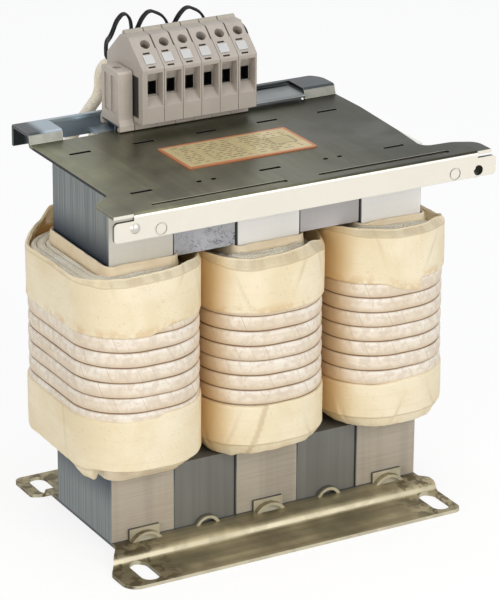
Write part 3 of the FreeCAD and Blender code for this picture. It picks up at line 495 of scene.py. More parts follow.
# The height of the tape's free rim round each coil, how far it is folded in over the winding
# there, the height of the layer ends inside it, and how far the fold lies below the rim
rim_height = {
    "left": [(0.0, 175.5), (0.10, 171.0), (0.18, 168.5), (0.32, 169.5), (0.43, 173.0), (0.52, 171.8),
             (0.57, 170.5), (0.60, 169.5), (0.66, 168.0), (0.76, 168.6), (0.87, 167.0), (0.928, 172.5),
             (0.962, 179.0), (1.0, 175.5)],
    "middle": [(0.0, 169.0), (0.30, 166.5), (0.37, 166.5), (0.43, 170.2), (0.52, 168.4), (0.572, 167.0),
               (0.627, 168.0), (0.72, 168.5), (1.0, 169.0)],
    "right": [(0.0, 167.0), (0.18, 163.5), (0.32, 163.0), (0.373, 167.0), (0.42, 170.0), (0.52, 169.8),
              (0.572, 171.0), (0.627, 171.0), (0.70, 168.0), (1.0, 167.0)],
}
folded_in = {
    "left": [(0.0, 1.5), (0.32, 0.6), (0.373, 1.5), (0.43, 3.3), (0.57, 3.5), (0.60, 2.9), (0.627, 1.6),
             (0.67, 0.3), (0.82, 0.3), (0.93, 2.2), (1.0, 1.5)],
    "middle": [(0.0, 0.5), (0.32, 0.8), (0.373, 2.0), (0.43, 4.5), (0.572, 4.5), (0.627, 2.0), (0.68, 0.6),
               (1.0, 0.5)],
    "right": [(0.0, 0.5), (0.32, 0.5), (0.373, 1.5), (0.43, 4.0), (0.572, 4.0), (0.627, 1.8), (0.68, 0.5),
              (1.0, 0.5)],
}
layer_height = {
    "left": [(0.0, 166.0), (0.20, 160.0), (0.33, 160.0), (0.40, 166.0), (0.45, 170.6), (0.52, 170.8),
             (0.58, 169.4), (0.66, 167.4), (0.82, 167.0), (1.0, 166.0)],
    "middle": [(0.0, 165.0), (0.20, 160.0), (0.34, 160.0), (0.40, 166.0), (0.44, 169.3), (0.60, 168.6),
               (0.65, 165.0), (0.72, 162.0), (1.0, 165.0)],
    "right": [(0.0, 165.0), (0.20, 158.0), (0.33, 158.0), (0.38, 163.0), (0.43, 168.0), (0.48, 169.6),
              (0.60, 170.2), (0.66, 167.0), (0.74, 163.0), (1.0, 165.0)],
}
fold_below_rim = {"left": 3.2, "middle": 4.6, "right": 3.0}


def along(stops, share):
    """A value read from (share, value) stops given round the ring, eased between them."""
    for (before, first), (after, second) in zip(stops, stops[1:]):
        if share <= after:
            return first + (second - first) * ease(share, before, after)
    return stops[-1][1]


# Threads that cross over and under each other, from the piece's own map in metres
weave, given, result = new_group("plain weave", {"Thread": 0.0008}, ("Height", "Thin"))
flat = axes(weave, "UV")
over, under = [maths(weave, "SINE", maths(weave, "DIVIDE", times(weave, flat[axis], math.pi),
                                          given["Thread"])) for axis in ("X", "Y")]
crossed = times(weave, over, under)
fill(weave, result["Height"], between(weave, crossed, -1.0, 1.0))
fill(weave, result["Thin"], between(weave, distance(weave, crossed), 0.25, 0.0))

# Painted warm shade where two coils stand against each other
coil_seam = 0.040
coil_gap_shade, given, result = new_group("painted shade between coils", {"Reach": 0.013}, ("Mask",))
from_seam = distance(coil_gap_shade, distance(coil_gap_shade, axes(coil_gap_shade)["X"]), coil_seam)
reached = maths(coil_gap_shade, "DIVIDE", from_seam, given["Reach"])
fill(coil_gap_shade, result["Mask"], between(coil_gap_shade, reached, 1.0, 0.1))

turn_paper, tree, shader = material_with_shader("lapped paper")
cloud = mottled(tree, 45.0, 2.0)
line = place(tree, pulled, Stretch=(45.0, 1500.0, 1.0))["Value"]
turn_now = painted(tree, "turn")
which = maths(tree, "FLOOR", turn_now)
within = maths(tree, "FRACT", turn_now)
# Each lap of the paper is a slanting edge, clear in some places and faint in others
lap_width, slant = 0.0086, 0.45
wobble = add(tree, "TexNoise", Vector=spot_on(tree, "UV"), Scale=28.0, Detail=1.0)
start_of_turn = add(tree, "TexWhiteNoise", {"noise_dimensions": "1D"}, W=which)
lapped = maths(tree, "DIVIDE", axes(tree, "UV")["X"], lap_width)
lapped = maths(tree, "SUBTRACT", lapped, times(tree, within, slant))
lapped = maths(tree, "ADD", lapped, times(tree, start_of_turn.outputs["Value"], 0.45))
lapped = maths(tree, "ADD", lapped, times(tree, wobble.outputs[0], 0.5))
lap_share = maths(tree, "FRACT", lapped)
this_lap = add(tree, "CombineXYZ", X=maths(tree, "FLOOR", lapped), Y=which)
lap_clear = add(tree, "TexWhiteNoise", {"noise_dimensions": "2D"}, Vector=this_lap.outputs[0])
lap_line = times(tree, between(tree, lap_share, 0.93, 1.0),
                 between(tree, lap_clear.outputs["Value"], 0.35, 1.0, 0.06, 0.8))
colour = blend(tree, cloud, (0.87, 0.79, 0.67), (0.76, 0.65, 0.50))
mottle = mottled(tree, 260.0, 4.0)
# Painted shade on the lower part of each turn and a painted highlight on its upper part, painted warm shade
# between coils, and painted shade in the lines between turns
for share, tint in ((between(tree, within, 0.50, 0.05, 0.0, 0.75), (0.70, 0.54, 0.36)),
                    (between(tree, within, 0.62, 0.88, 0.0, 0.55), (0.93, 0.90, 0.86)),
                    (between(tree, mottle, 0.35, 0.8, 0.0, 0.5), (0.66, 0.55, 0.43)),
                    (between(tree, line, 0.44, 0.72, 0.0, 0.35), (0.72, 0.60, 0.46)),
                    (lap_line, (0.50, 0.37, 0.25)),
                    (times(tree, place(tree, coil_gap_shade)["Mask"], 0.75), (0.66, 0.44, 0.20)),
                    (painted(tree, "groove_shade"), (0.25, 0.15, 0.07))):
    colour = blend(tree, share, colour, tint)
relief = blend(tree, 0.35, line, place(tree, weave, Thread=0.0005)["Height"])
set_finish(tree, shader, colour, 0.58, blend(tree, 0.5, relief, lap_share), 0.4, 0.0003)

end_fibre, tree, shader = material_with_shader("woven fibre end")
cloud = mottled(tree, 70.0, 8.0)
threads = place(tree, weave, Thread=0.0011)
colour = blend(tree, cloud, (0.98, 0.94, 0.82), (0.84, 0.76, 0.60))
colour = blend(tree, threads["Thin"], colour, (0.66, 0.58, 0.44))
# Painted shade in the seams between the layer ends
colour = blend(tree, times(tree, painted(tree, "groove_shade"), 0.85), colour, (0.09, 0.06, 0.035))
set_finish(tree, shader, colour, 0.7, threads["Height"], 0.8, 0.0004)

# The winding's outline and section are given as the former's. It is set back under the tape, its
# inner wall stands on the former, and above ends_from it shows the layer ends with painted shade in the
# seams between them.
winding_outline = (0.0387, 0.0554, 0.033)
under_tape, inner_wall, layer_seams = -1.6, -14.6, (-5.9, -10.8, -14.6)
ends_from, layer_level = 157.0, 164.0
turn_count, turn_corner = 7, 2.4
layer_ends = [(-1.7, 162.8), (-2.3, 163.8), (-3.4, 164.2), (-4.5, 164.1), (-5.3, 163.6), (-5.6, 162.9),
              (-5.9, 162.4), (-6.1, 162.9), (-6.8, 163.7), (-7.9, 164.1), (-9.2, 164.1), (-10.2, 163.7),
              (-10.5, 162.9), (-10.8, 162.3), (-11.0, 162.9), (-11.7, 163.7), (-12.7, 164.0),
              (-13.6, 163.6), (-14.0, 162.4), (-14.6, 158.0)]
for number, (side, centre) in enumerate(leg_places.items()):
    pitch = turn_pitch[side]
    across_turn = [0.0, 0.12, 0.35, 0.7, 1.1, 1.6, 2.2, 3.0, 3.8]
    across_turn += [pitch - step for step in across_turn[:0:-1]]
    heights = [top_line[side] + pitch * (row - turn_count) + step
               for row in range(turn_count + 1) for step in across_turn]
    winding_section = ([(inner_wall, 62.0), (under_tape, 62.0), (under_tape, 73.6)]
                       + [(0.0, height) for height in heights if 74.8 < height < 144.6]
                       + rows_up(under_tape, 145.6, 161.5, 7.0) + layer_ends
                       + rows_up(inner_wall, 150.0, 62.0, 30.0))
    tightness = [0.25 * noise.noise(Vector((row * 3.7, number * 11.3, 0.5))) for row in range(12)]

    def turn_shape(share, out, height, normal, place_now):
        flat_spot = Vector((place_now.x, place_now.y, 0.0))
        trim = -narrower_right[side] * max(0.0, normal.x)
        if height > ends_from:
            hidden = along(folded_in[side], share) + 2.6 + out
            base = along(layer_height[side], share) - layer_level - 1.1 * max(0.0, hidden)
            base *= 1.0 if out > -14.3 else 0.2
            shade = 1.0 if out in layer_seams else 0.0
            return (trim + 0.25 * ripple(flat_spot, 11, number),
                    base + 0.4 * ripple(flat_spot, 9, out + number), shade, 0.0)
        if out < 0.0:
            return trim, 0.0, 0.0, 0.0
        counted = (height - top_line[side]) / pitch + turn_count
        row = math.floor(counted + 1e-6)
        inside_turn = (counted - row) * pitch
        from_line = min(inside_turn, pitch - inside_turn)
        into_corner = 1 - min(1.0, from_line / turn_corner)
        depth = 1.3 * (1 - math.sqrt(max(0.0, 1 - into_corner ** 2)))
        bulge = 0.35 * math.sin(math.pi * max(0.0, inside_turn) / pitch)
        spot_now = Vector((place_now.x, place_now.y, row * 0.009))
        sway = 0.3 * ripple(flat_spot, 45, number * 4.0 + row * 0.4)
        slack = tightness[max(0, min(11, row))] + 0.16 * ripple(spot_now, 14, row + number * 3.0) - 0.25
        line_shade = 1.0 if from_line < 0.2 else 0.45 if from_line < 0.4 else 0.0
        return trim + slack + bulge - depth, sway, line_shade, counted + 1e-4

    wound = wind_round("winding_turns_" + side, centre, winding_outline, winding_section, turn_shape,
                       [turn_paper, end_fibre],
                       lambda out, height: int(height > ends_from and out < under_tape - 0.05))
    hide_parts("winding_" + side)

# Tape bands
# Wide cotton tape pulled round each end of the winding in several layers. It creases where it is
# pulled tight. Its upper edge is folded in over the winding, and its lower edge is frilled.

band_tape, tree, shader = material_with_shader("cotton tape")
cloud = mottled(tree, 28.0, 4.0)
line = place(tree, pulled, Stretch=(9.0, 700.0, 1.0))["Value"]
threads = place(tree, weave, Thread=0.0007)
stain = place(tree, patches, Scale=9.0, Seed=11.0)["Specks"]
# Brown in patches: stains a little way up from the upper band's lower edge, and painted shade on
# the bands' inner side and on the lower band's hanging hem. The other tints add painted warm shade
# between coils, and painted shade in creases, folds and pleats.
blotch = between(tree, mottled(tree, 110.0, 9.0), 0.35, 0.9)
colour = blend(tree, cloud, (0.90, 0.805, 0.60), (0.82, 0.70, 0.465))
for share, tint in ((between(tree, line, 0.46, 0.72, 0.0, 0.28), (0.80, 0.65, 0.41)),
                    (times(tree, threads["Thin"], 0.10), (0.60, 0.46, 0.27)),
                    (times(tree, stain, 0.25), (0.45, 0.30, 0.15)),
                    (times(tree, painted(tree, "turn"), blotch, 0.42), (0.62, 0.37, 0.14)),
                    (times(tree, place(tree, coil_gap_shade)["Mask"], 0.75), (0.70, 0.46, 0.18)),
                    (times(tree, painted(tree, "groove_shade"), 0.7), (0.40, 0.26, 0.12))):
    colour = blend(tree, share, colour, tint)
crumple = mottled(tree, 220.0, 6.0)
relief = blend(tree, 0.25, blend(tree, 0.5, line, crumple), threads["Height"])
set_finish(tree, shader, colour, 0.62, relief, 0.35, 0.0003)

# The bands' outline and sections, as for the former. The upper band goes from its edge up its
# wall to the fold and the rim. The lower one hangs below its hem, where it is tucked in.
band_outline = (0.0396, 0.0563, 0.0339)
edge_level, wall_level, fold_level, rim_level = 137.2, 138.0, 161.4, 166.0
hang_level, hem_level, tuck_level, lower_top = 50.0, 57.2, 57.6, 76.6
upper_section = (
    [(-2.2, 137.6), (-1.2, 137.2), (-0.3, 137.3), (0.0, 137.8)] + rows_up(0.0, 138.6, 160.2, 1.2)
    + rows_up(0.0, 160.8, 166.0, 0.4) + [(-0.1, 166.5), (-0.35, 166.8), (-0.65, 166.8), (-0.8, 166.2),
       (-0.85, 165.6), (-0.95, 166.1), (-1.15, 166.3), (-1.45, 166.2), (-1.6, 165.6), (-1.65, 165.0),
       (-1.8, 165.3), (-2.0, 165.3), (-2.15, 164.8), (-2.2, 162.0)]
    + rows_up(-2.2, 158.0, 137.6, 10.0))
lower_section = (
    [(-2.2, 76.2), (-2.2, 70.0), (-2.2, 64.0)] + rows_up(-2.2, 61.0, 51.0, 1.2)
    + [(-2.0, 50.3), (-1.4, 50.0), (-0.7, 50.0), (-0.2, 50.4)]
    + rows_up(0.0, 51.0, 60.0, 0.6) + rows_up(0.0, 60.8, 75.2, 0.9)
    + [(-0.1, 75.9), (-0.5, 76.5), (-1.2, 76.6), (-1.9, 76.5), (-2.2, 76.2)])

# The heights of each band's own inner edge, next to the turns, and of the hanging lower edge
inner_edge = {
    "upper_left": [(0.0, 137.4), (0.15, 140.0), (0.30, 142.6), (0.465, 142.2), (0.525, 137.4),
                   (1.0, 137.4)],
    "upper_middle": [(0.0, 136.6), (0.5, 136.9), (1.0, 136.6)],
    "upper_right": [(0.0, 139.7), (0.474, 139.8), (0.481, 132.6), (0.50, 133.8), (0.56, 139.6),
                    (1.0, 139.7)],
    "lower_left": [(0.0, 89.0), (0.30, 90.8), (0.485, 90.6), (0.505, 88.4), (0.55, 88.0), (1.0, 89.0)],
    "lower_middle": [(0.0, 81.2), (1.0, 81.2)],
    "lower_right": [(0.0, 79.0), (0.30, 80.6), (0.46, 79.8), (0.58, 77.7), (1.0, 79.0)],
}
hang_rise = {
    "left": [(0.0, 0.0), (0.30, 1.0), (0.45, 4.5), (0.525, 6.2), (0.545, 4.2), (0.56, 6.4), (0.62, 6.2),
             (0.636, -1.8), (0.665, -2.2), (0.685, 2.0), (0.715, 1.5), (0.74, 4.8), (0.80, 5.6),
             (0.9, 1.0), (1.0, 0.0)],
    "middle": [(0.0, 0.0), (0.35, 1.0), (0.48, 2.4), (0.58, 0.4), (0.61, -2.2), (0.68, -3.0), (0.80, 0.0),
               (1.0, 0.0)],
    "right": [(0.0, 0.0), (0.40, 0.3), (0.50, 0.8), (0.60, 0.0), (1.0, 0.0)],
}

# Each crease: share round the coil, height, slant, length up and down, and depth in millimetres
creases = {
    "upper_left": [(0.585, 162.0, 0.35, 5.0, 0.9), (0.45, 163.0, -0.6, 7.0, 0.7),
                   (0.40, 148.0, 0.5, 9.0, 0.5)],
    "upper_middle": [(0.47, 156.0, -0.5, 8.0, 0.7), (0.58, 148.0, 0.5, 10.0, 0.5),
                     (0.42, 158.0, 0.4, 8.0, 0.7)],
    "upper_right": [(0.56, 157.0, 0.4, 10.0, 0.6), (0.45, 152.0, -0.6, 9.0, 0.6),
                    (0.40, 160.0, 0.3, 9.0, 0.7)],
    "lower_left": [(0.578, 83.0, 0.45, 7.0, 1.1), (0.497, 86.0, 0.55, 6.0, 1.2),
                   (0.70, 70.0, 0.3, 9.0, 0.8)],
    "lower_middle": [(0.60, 64.0, -0.5, 8.0, 0.6), (0.45, 60.0, 0.5, 6.0, 0.8),
                     (0.65, 58.0, 0.3, 6.0, 1.0)],
    "lower_right": [(0.52, 60.0, -0.5, 7.0, 0.8), (0.44, 62.0, 0.6, 8.0, 0.8), (0.62, 58.0, 0.4, 7.0, 0.9)],
}
band_girth = 325.63
tape_end_share, tape_end_level, tape_end_slant, tape_end_width = 0.548, 66.0, 0.42, 2.6


def crease_depth(marks, share, height):
    """How far in or out the creases move the tape at one place, and how much painted shade lies in them
    there.
    """
    total, crease_shade = 0.0, 0.0
    for mark_share, level_now, slant, length, depth in marks:
        beside = (share - mark_share) * band_girth - slant * (height - level_now)
        fade = math.exp(-((height - level_now) / length) ** 2)
        valley = math.exp(-beside ** 2)
        total += depth * fade * (valley * -0.6 + math.exp(-((beside - 2.4) / 1.7) ** 2) * 0.6)
        crease_shade += fade * valley * 0.35
    return total, min(1.0, crease_shade)


def upper_rim(side, seed, share, out, height, normal, flat_spot, edge_now, shade):
    """The upper band's fold and free rim, as five values: slack, fold inwards, rise, shade, and stain with
    painted shade.
    """
    rim = along(rim_height[side], share) + 0.35 * ripple(flat_spot, 9, seed + 1.0)
    inwards = along(folded_in[side], share)
    fold = rim - fold_below_rim[side] * (0.4 + 0.6 * ease(inwards, 0.5, 3.0))
    lip = max(0.0, min(1.0, (height - fold_level) / (rim_level - fold_level)))
    wall = max(0.0, min(1.0, (height - wall_level) / (fold_level - wall_level)))
    rise = ((edge_now - edge_level) * (1 - wall) + (fold - fold_level) * wall
            + (rim - rim_level - fold + fold_level) * lip)
    pleats = 0.35 * ripple(flat_spot, 4.2, seed + 9.0) + 0.5 * ripple(flat_spot, 9.0, seed + 8.0)
    folded = -inwards * lip ** 1.15 + pleats * lip * (1.2 - lip) * 1.6
    if out > -0.05 and -0.4 < height - fold_level < 0.35:
        shade = max(shade, 0.55)
    if out > -0.05 and lip > 0.1:
        shade = max(shade, 0.3 * ease(-pleats, 0.03, 0.24))
    if out < -0.5 and height > 162.0:
        shade = 0.5 if height < 165.8 else 0.1
    # The last value is stain near the band's lower edge, and strong painted shade on its inner side
    return 0.0, folded, rise, shade, 2.5 if out < -1.9 else 1 - ease(height, 138.5, 143.0)


def lower_hem(side, seed, share, out, height, normal, flat_spot, edge_now, shade):
    """The same five values for the lower band: its frilled hem, and the tape's end on the middle coil."""
    hang = 1 - ease(height, hang_level, 62.0)
    tucked = max(0.0, tuck_level - height) / (tuck_level - hang_level)
    hem = 1 - ease(height, hem_level - 0.4, hem_level + 0.6)
    frill = 0.9 * ripple(flat_spot, 9.0, seed + 4.0) + 0.5 * ripple(flat_spot, 4.5, seed + 6.0)
    slack = -(2.6 + 4.2 * normal.x ** 2) * tucked ** 1.35 - 0.55 * hem + hang * frill
    rise = along(hang_rise[side], share) * (1 - ease(height, hang_level, 60.0))
    rise += hang * (0.5 * ripple(flat_spot, 12.0, seed + 8.0) + 0.4 * ripple(flat_spot, 5.0, seed + 7.0))
    rise += (edge_now - lower_top) * ease(height, 62.0, 76.0)
    if out > -0.1:
        shade = max(shade, 0.7 * math.exp(-((height - hem_level) / 0.5) ** 2))
    # On the middle coil the tape's end stands out a little and has a darker strip along it
    if side == "middle":
        beside = (share - tape_end_share) * band_girth - tape_end_slant * (tape_end_level - height)
        slack += 0.5 * ease(beside, 0.0, 0.9) * (1 - ease(beside, 26.0, 60.0))
        tape_end_strip = ease(beside, -0.4, 0.4) * (1 - ease(beside, tape_end_width, tape_end_width + 1.2))
        shade = max(shade, 0.5 * tape_end_strip)
    # The last value is painted shade on the hanging hem
    return slack, 0.0, rise, shade, 0.5 * hang


for number, (side, centre) in enumerate(leg_places.items()):
    for level_name, section, own_edge, first_seed in (("upper", upper_section, upper_rim, 0.0),
                                                      ("lower", lower_section, lower_hem, 40.0)):
        band_name = level_name + "_" + side
        seed = number * 7.3 + first_seed

        def tape_shape(share, out, height, normal, place_now):
            spot_now = Vector((place_now.x, place_now.y, height / 1000))
            flat_spot = Vector((place_now.x, place_now.y, 0.0))
            creased, crease_shade = crease_depth(creases[band_name], share, height)
            slack = 0.26 * ripple(spot_now, 24, seed) + 0.12 * ripple(spot_now, 8, seed + 2.0) + creased
            edge_now = along(inner_edge[band_name], share) + 0.25 * ripple(flat_spot, 16, seed + 4.0)
            looser, folded, rise, shade, stain_and_shade = own_edge(
                side, seed, share, out, height, normal, flat_spot, edge_now, crease_shade)
            room = 0.30 + 1.1 * abs(normal.y)
            trim = -narrower_right[side] * max(0.0, normal.x)
            return min(slack + looser, room) + folded + trim, rise, min(1.0, shade), stain_and_shade

        band = wind_round("band_" + band_name, centre, band_outline, section, tape_shape, [band_tape])
        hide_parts("tape_band_" + band_name)

# Bottom and top frames
# Folded zinc-plated steel with an olive passivation film. The faces that look forward, the front
# strip, the step of the feet and the risers behind, are brighter as a painted reflection.

# Bare bright metal along sharp edges, partly wear and partly a painted highlight
wear_and_highlight, given, result = new_group("worn edges", {"Radius": 0.0008}, ("Mask",))
rounded = add(wear_and_highlight, "Bevel", {"samples": 4}, Radius=given["Radius"])
true_face = add(wear_and_highlight, "NewGeometry")
same = vector_maths(wear_and_highlight, "DOT_PRODUCT", rounded.outputs[0], true_face.outputs["Normal"])["Value"]
fill(wear_and_highlight, result["Mask"], between(wear_and_highlight, same, 0.995, 0.93))


def tinted(colour, amount):
    return [part * amount for part in colour]


def span(tree, value, start, end):
    """1 for a stretch of values. Its start and its end are ramps, each given from 0 to 1."""
    return times(tree, between(tree, value, *start), between(tree, value, *end))


# Bounds of the top frame's own parts, each as a ramp from 0 to 1, in metres
rear_angle, rear_wall, front_strip = (0.0630, 0.0636), (0.068, 0.070), (-0.050, -0.056)
shelf_left, shelf_right = (-0.094, -0.088), (-0.02, -0.03)
plate_under, plate_over = (0.2066, 0.2070), (0.2139, 0.2136)
plate_half_width, plate_half_depth = (0.106, 0.104), (0.060, 0.058)


def frame_material(name, film, step, strip=None):
    """The film colour on level faces, and the step colour, a painted reflection, on faces that look
    forward. Only the top frame has a front strip, whose bright colour is a painted reflection too."""
    material, tree, shader = material_with_shader(name)
    facing = axes(tree, "Normal")
    where = axes(tree)
    cloud = mottled(tree, 16.0, 3.0 if strip else 7.0)
    small = mottled(tree, 90.0, 1.0)
    drawn = place(tree, streaks, Stretch=(260.0, 10.0, 260.0) if strip else (14.0, 500.0, 500.0))
    colour = blend(tree, cloud, tinted(film, 0.8), tinted(film, 1.6))
    colour = blend(tree, between(tree, drawn["Value"], 0.35, 0.7, 0.0, 0.55), colour, tinted(film, 0.5))
    colour = blend(tree, times(tree, small, 0.25), colour, (0.12, 0.10, 0.05))
    # Faces that look forward take the step colour, a painted reflection
    front = between(tree, facing["Y"], -0.72, -0.95)
    forward = blend(tree, between(tree, small, 0.3, 0.9, 0.0, 0.5), step, tinted(step, 0.7))
    if strip:
        # Pale scuffs, long and thin, where sheets slid over each other
        scuffs = between(tree, place(tree, streaks, Stretch=(30.0, 420.0, 420.0))["Fine"], 0.60, 0.74)
        colour = blend(tree, times(tree, scuffs, cloud, 0.4), colour, (0.30, 0.30, 0.25))
        colour = blend(tree, between(tree, where["X"], -0.04, 0.09, 0.0, 0.9), colour, tinted(film, 0.14))
        # The rear angle is blue grey, with painted shade over all of it but the shelf at the left, where it
        # is palest
        rear_angle_colour = blend(tree, cloud, (0.17, 0.215, 0.25), (0.25, 0.285, 0.31))
        rear_angle_colour = blend(tree, span(tree, where["X"], shelf_left, shelf_right),
                      blend(tree, 1.0, rear_angle_colour, [0.24] * 3, "MULTIPLY"),
                      blend(tree, 1.0, rear_angle_colour, [1.6] * 3, "MULTIPLY"))
        colour = blend(tree, between(tree, where["Y"], *rear_angle), colour, rear_angle_colour)
        front = times(tree, front, maths(tree, "SUBTRACT", 1.0, between(tree, where["Y"], *rear_wall)))
        # The strip's bright colour is a painted reflection
        strip_reflection = blend(tree, between(tree, cloud, 0.2, 0.9, 0.0, 0.3), strip, tinted(strip, 0.84))
        forward = blend(tree, between(tree, where["Y"], *front_strip), forward, strip_reflection)
    else:
        rusted = between(tree, mottled(tree, 150.0, 6.0), 0.35, 0.8, 0.0, 0.75)
        near_slot = between(tree, distance(tree, where["X"]), 0.066, 0.090)
        colour = blend(tree, times(tree, near_slot, rusted), colour, (0.075, 0.055, 0.025))
        tray = between(tree, distance(tree, where["Y"]), 0.037, 0.034)
        colour = blend(tree, tray, colour, (0.09, 0.105, 0.115))
    colour = blend(tree, front, colour, forward)
    # Lighter sharp edges: wear and a painted highlight
    rubbed_and_highlit = place(tree, wear_and_highlight, Radius=0.0006)["Mask"]
    colour = blend(tree, times(tree, rubbed_and_highlit, 0.45), colour, (0.52, 0.50, 0.43))
    if strip:
        # The walls of the punched slots and of the tabs' windows lie in deep shade
        upright = between(tree, distance(tree, facing["Z"]), 0.6, 0.3)
        inside = times(tree, span(tree, where["Z"], plate_under, plate_over), upright,
                       between(tree, distance(tree, where["Y"]), *plate_half_depth),
                       between(tree, distance(tree, where["X"]), *plate_half_width))
        colour = blend(tree, inside, colour, [0.012] * 3)
    roughness = between(tree, cloud, 0.0, 1.0, *((0.30, 0.44) if strip else (0.50, 0.64)))
    set_finish(tree, shader, colour, roughness, blend(tree, 0.5, drawn["Fine"], small), 0.12, 0.0003, 0.75)
    return material


dress("bottom_frame", frame_material("lower frame plating", (0.33, 0.29, 0.185), (0.58, 0.53, 0.39)))
dress("top_frame", frame_material("upper frame plating", (0.150, 0.152, 0.098), (0.17, 0.17, 0.15),
                                  (0.84, 0.80, 0.70)))

# Rail
# A narrow rolled steel channel, zinc plated, that carries the terminals. It is fixed on the
# top frame's tongue.

rail_steel, tree, shader = material_with_shader("rail plating")
drawn = place(tree, streaks, Stretch=(12.0, 900.0, 900.0))
cloud = mottled(tree, 40.0)
colour = blend(tree, drawn["Value"], (0.13, 0.15, 0.16), (0.36, 0.38, 0.38))
colour = blend(tree, times(tree, cloud, 0.4), colour, (0.07, 0.075, 0.075))
set_finish(tree, shader, colour, 0.34, drawn["Fine"], 0.15, 0.0002, 0.9)
dress("terminal_rail", rail_steel)

# Earth rivet, clamp sleeves and screws
# Bright plated steel turned or stamped, with faint turning marks. The rivet is set in the front
# strip, and each screw clamps a wire in its sleeve.


def small_steel(name, colour, dark, rough):
    material, tree, shader = material_with_shader(name)
    drawn = place(tree, streaks, Stretch=(1500.0, 300.0, 1500.0))
    cloud = mottled(tree, 300.0)
    # Lighter sharp edges: wear and a painted highlight
    rubbed_and_highlit = times(tree, place(tree, wear_and_highlight, Radius=0.0003)["Mask"], 0.6)
    mixed = blend(tree, rubbed_and_highlit, blend(tree, drawn["Value"], dark, colour), (0.8, 0.79, 0.76))
    roughness = between(tree, cloud, 0.0, 1.0, rough, rough + 0.12)
    set_finish(tree, shader, mixed, roughness, drawn["Fine"], 0.15, 0.0001, 0.9)
    return material


dress("earth_rivet", small_steel("rivet steel", (0.80, 0.77, 0.70), (0.48, 0.45, 0.40), 0.25))
# The sleeves' end faces are a dull grey brown, their insides lie in deep shade, and the lower lip catches
# light
sleeve_steel, tree, shader = material_with_shader("sleeve steel")
facing = axes(tree, "Normal")
cloud = mottled(tree, 300.0)
end_face = between(tree, distance(tree, facing["Y"]), 0.8, 0.9)
end_colour = blend(tree, cloud, (0.36, 0.33, 0.29), (0.27, 0.25, 0.22))
lip = times(tree, between(tree, facing["Z"], 0.8, 0.9), between(tree, axes(tree)["Y"], 0.0530, 0.0526))
colour = blend(tree, lip, blend(tree, end_face, [0.012] * 3, end_colour), (0.62, 0.61, 0.56))
fill(tree, shader.inputs["Base Color"], colour)
fill(tree, shader.inputs["Metallic"], 0.3)
fill(tree, shader.inputs["Roughness"], between(tree, cloud, 0.0, 1.0, 0.38, 0.55))
dress("clamp_cages", sleeve_steel)
dress("clamp_screws", small_steel("screw steel", (0.30, 0.28, 0.26), (0.16, 0.15, 0.14), 0.38))
dress("bracket_screw", small_steel("bracket screw steel", (0.55, 0.53, 0.50), (0.25, 0.24, 0.23), 0.30))

# Terminal housings, end plate, bracket and marker carriers
# Moulded thermoplastic in a warm beige grey with a fine eroded surface, and painted shade in the housings'
# chambers, slits and seams.
# The housings hook on the rail side by side, and the tags and carriers clip in along the roof.

housing_pitch = 0.012
first_low, first_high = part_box("terminal_block_1")
row_start = first_high.x - 0.5 * housing_pitch
roof_rise = 0.0148
roof_angle = math.atan2(roof_rise, 0.01700)
# The clamp chambers' bounds, each as a ramp from 0 to 1
chamber_front, chamber_back = (0.0513, 0.0519), (0.0812, 0.0806)
chamber_floor, chamber_roof = (0.2222, 0.2232), (0.2475, 0.2465)


def chambers_and_seams(tree, where, from_middle):
    deep = times(tree, span(tree, where["Y"], chamber_front, chamber_back),
                 span(tree, where["Z"], chamber_floor, chamber_roof),
                 between(tree, from_middle, 0.0053, 0.0051))
    seam = times(tree, between(tree, from_middle, 0.00585, 0.00594),
                 between(tree, where["X"], row_start - 0.0055, row_start - 0.0050))
    return maths(tree, "MAXIMUM", deep, seam)


def marker_slits(tree, where, from_middle):
    """The two narrow slits beside each marker, below the sloping front of the roof."""
    back_in = maths(tree, "SUBTRACT", where["Y"], first_low.y)
    up_from = maths(tree, "SUBTRACT", where["Z"], first_high.z - roof_rise)
    sine, cosine = math.sin(roof_angle), math.cos(roof_angle)
    sunk = maths(tree, "SUBTRACT", times(tree, back_in, sine), times(tree, up_from, cosine))
    up_slope = maths(tree, "ADD", times(tree, back_in, cosine), times(tree, up_from, sine))
    return times(tree, span(tree, sunk, (0.00020, 0.00035), (0.0016, 0.0014)),
                 span(tree, up_slope, (0.0002, 0.0004), (0.0125, 0.0122)),
                 between(tree, from_middle, 0.0040, 0.0038), 0.9)


def moulded_plastic(name, colour, dark, in_row=False):
    """Housings in the row also have their clamp chambers, slits and the seams between them in shade."""
    material, tree, shader = material_with_shader(name)
    cloud = mottled(tree, 70.0)
    eroded = add(tree, "TexNoise", Vector=spot_on(tree), Scale=1400.0, Detail=2.0)
    rubbed_and_highlit = place(tree, wear_and_highlight, Radius=0.0005)["Mask"]
    mixed = blend(tree, times(tree, cloud, 0.5), colour, dark)
    # Lighter sharp edges: wear and a painted highlight
    mixed = blend(tree, times(tree, rubbed_and_highlit, 0.35), mixed, tinted(colour, 1.35))
    if in_row:
        where = axes(tree)
        moved = maths(tree, "ADD", where["X"], 0.5 * housing_pitch - row_start)
        moved = maths(tree, "FLOORED_MODULO", moved, housing_pitch)
        from_middle = distance(tree, moved, 0.5 * housing_pitch)
        mixed = blend(tree, chambers_and_seams(tree, where, from_middle), mixed, (0.014, 0.012, 0.011))
        mixed = blend(tree, marker_slits(tree, where, from_middle), mixed, (0.03, 0.027, 0.024))
    roughness = between(tree, cloud, 0.0, 1.0, 0.42, 0.55)
    set_finish(tree, shader, mixed, roughness, eroded.outputs[0], 0.12, 0.0001)
    return material


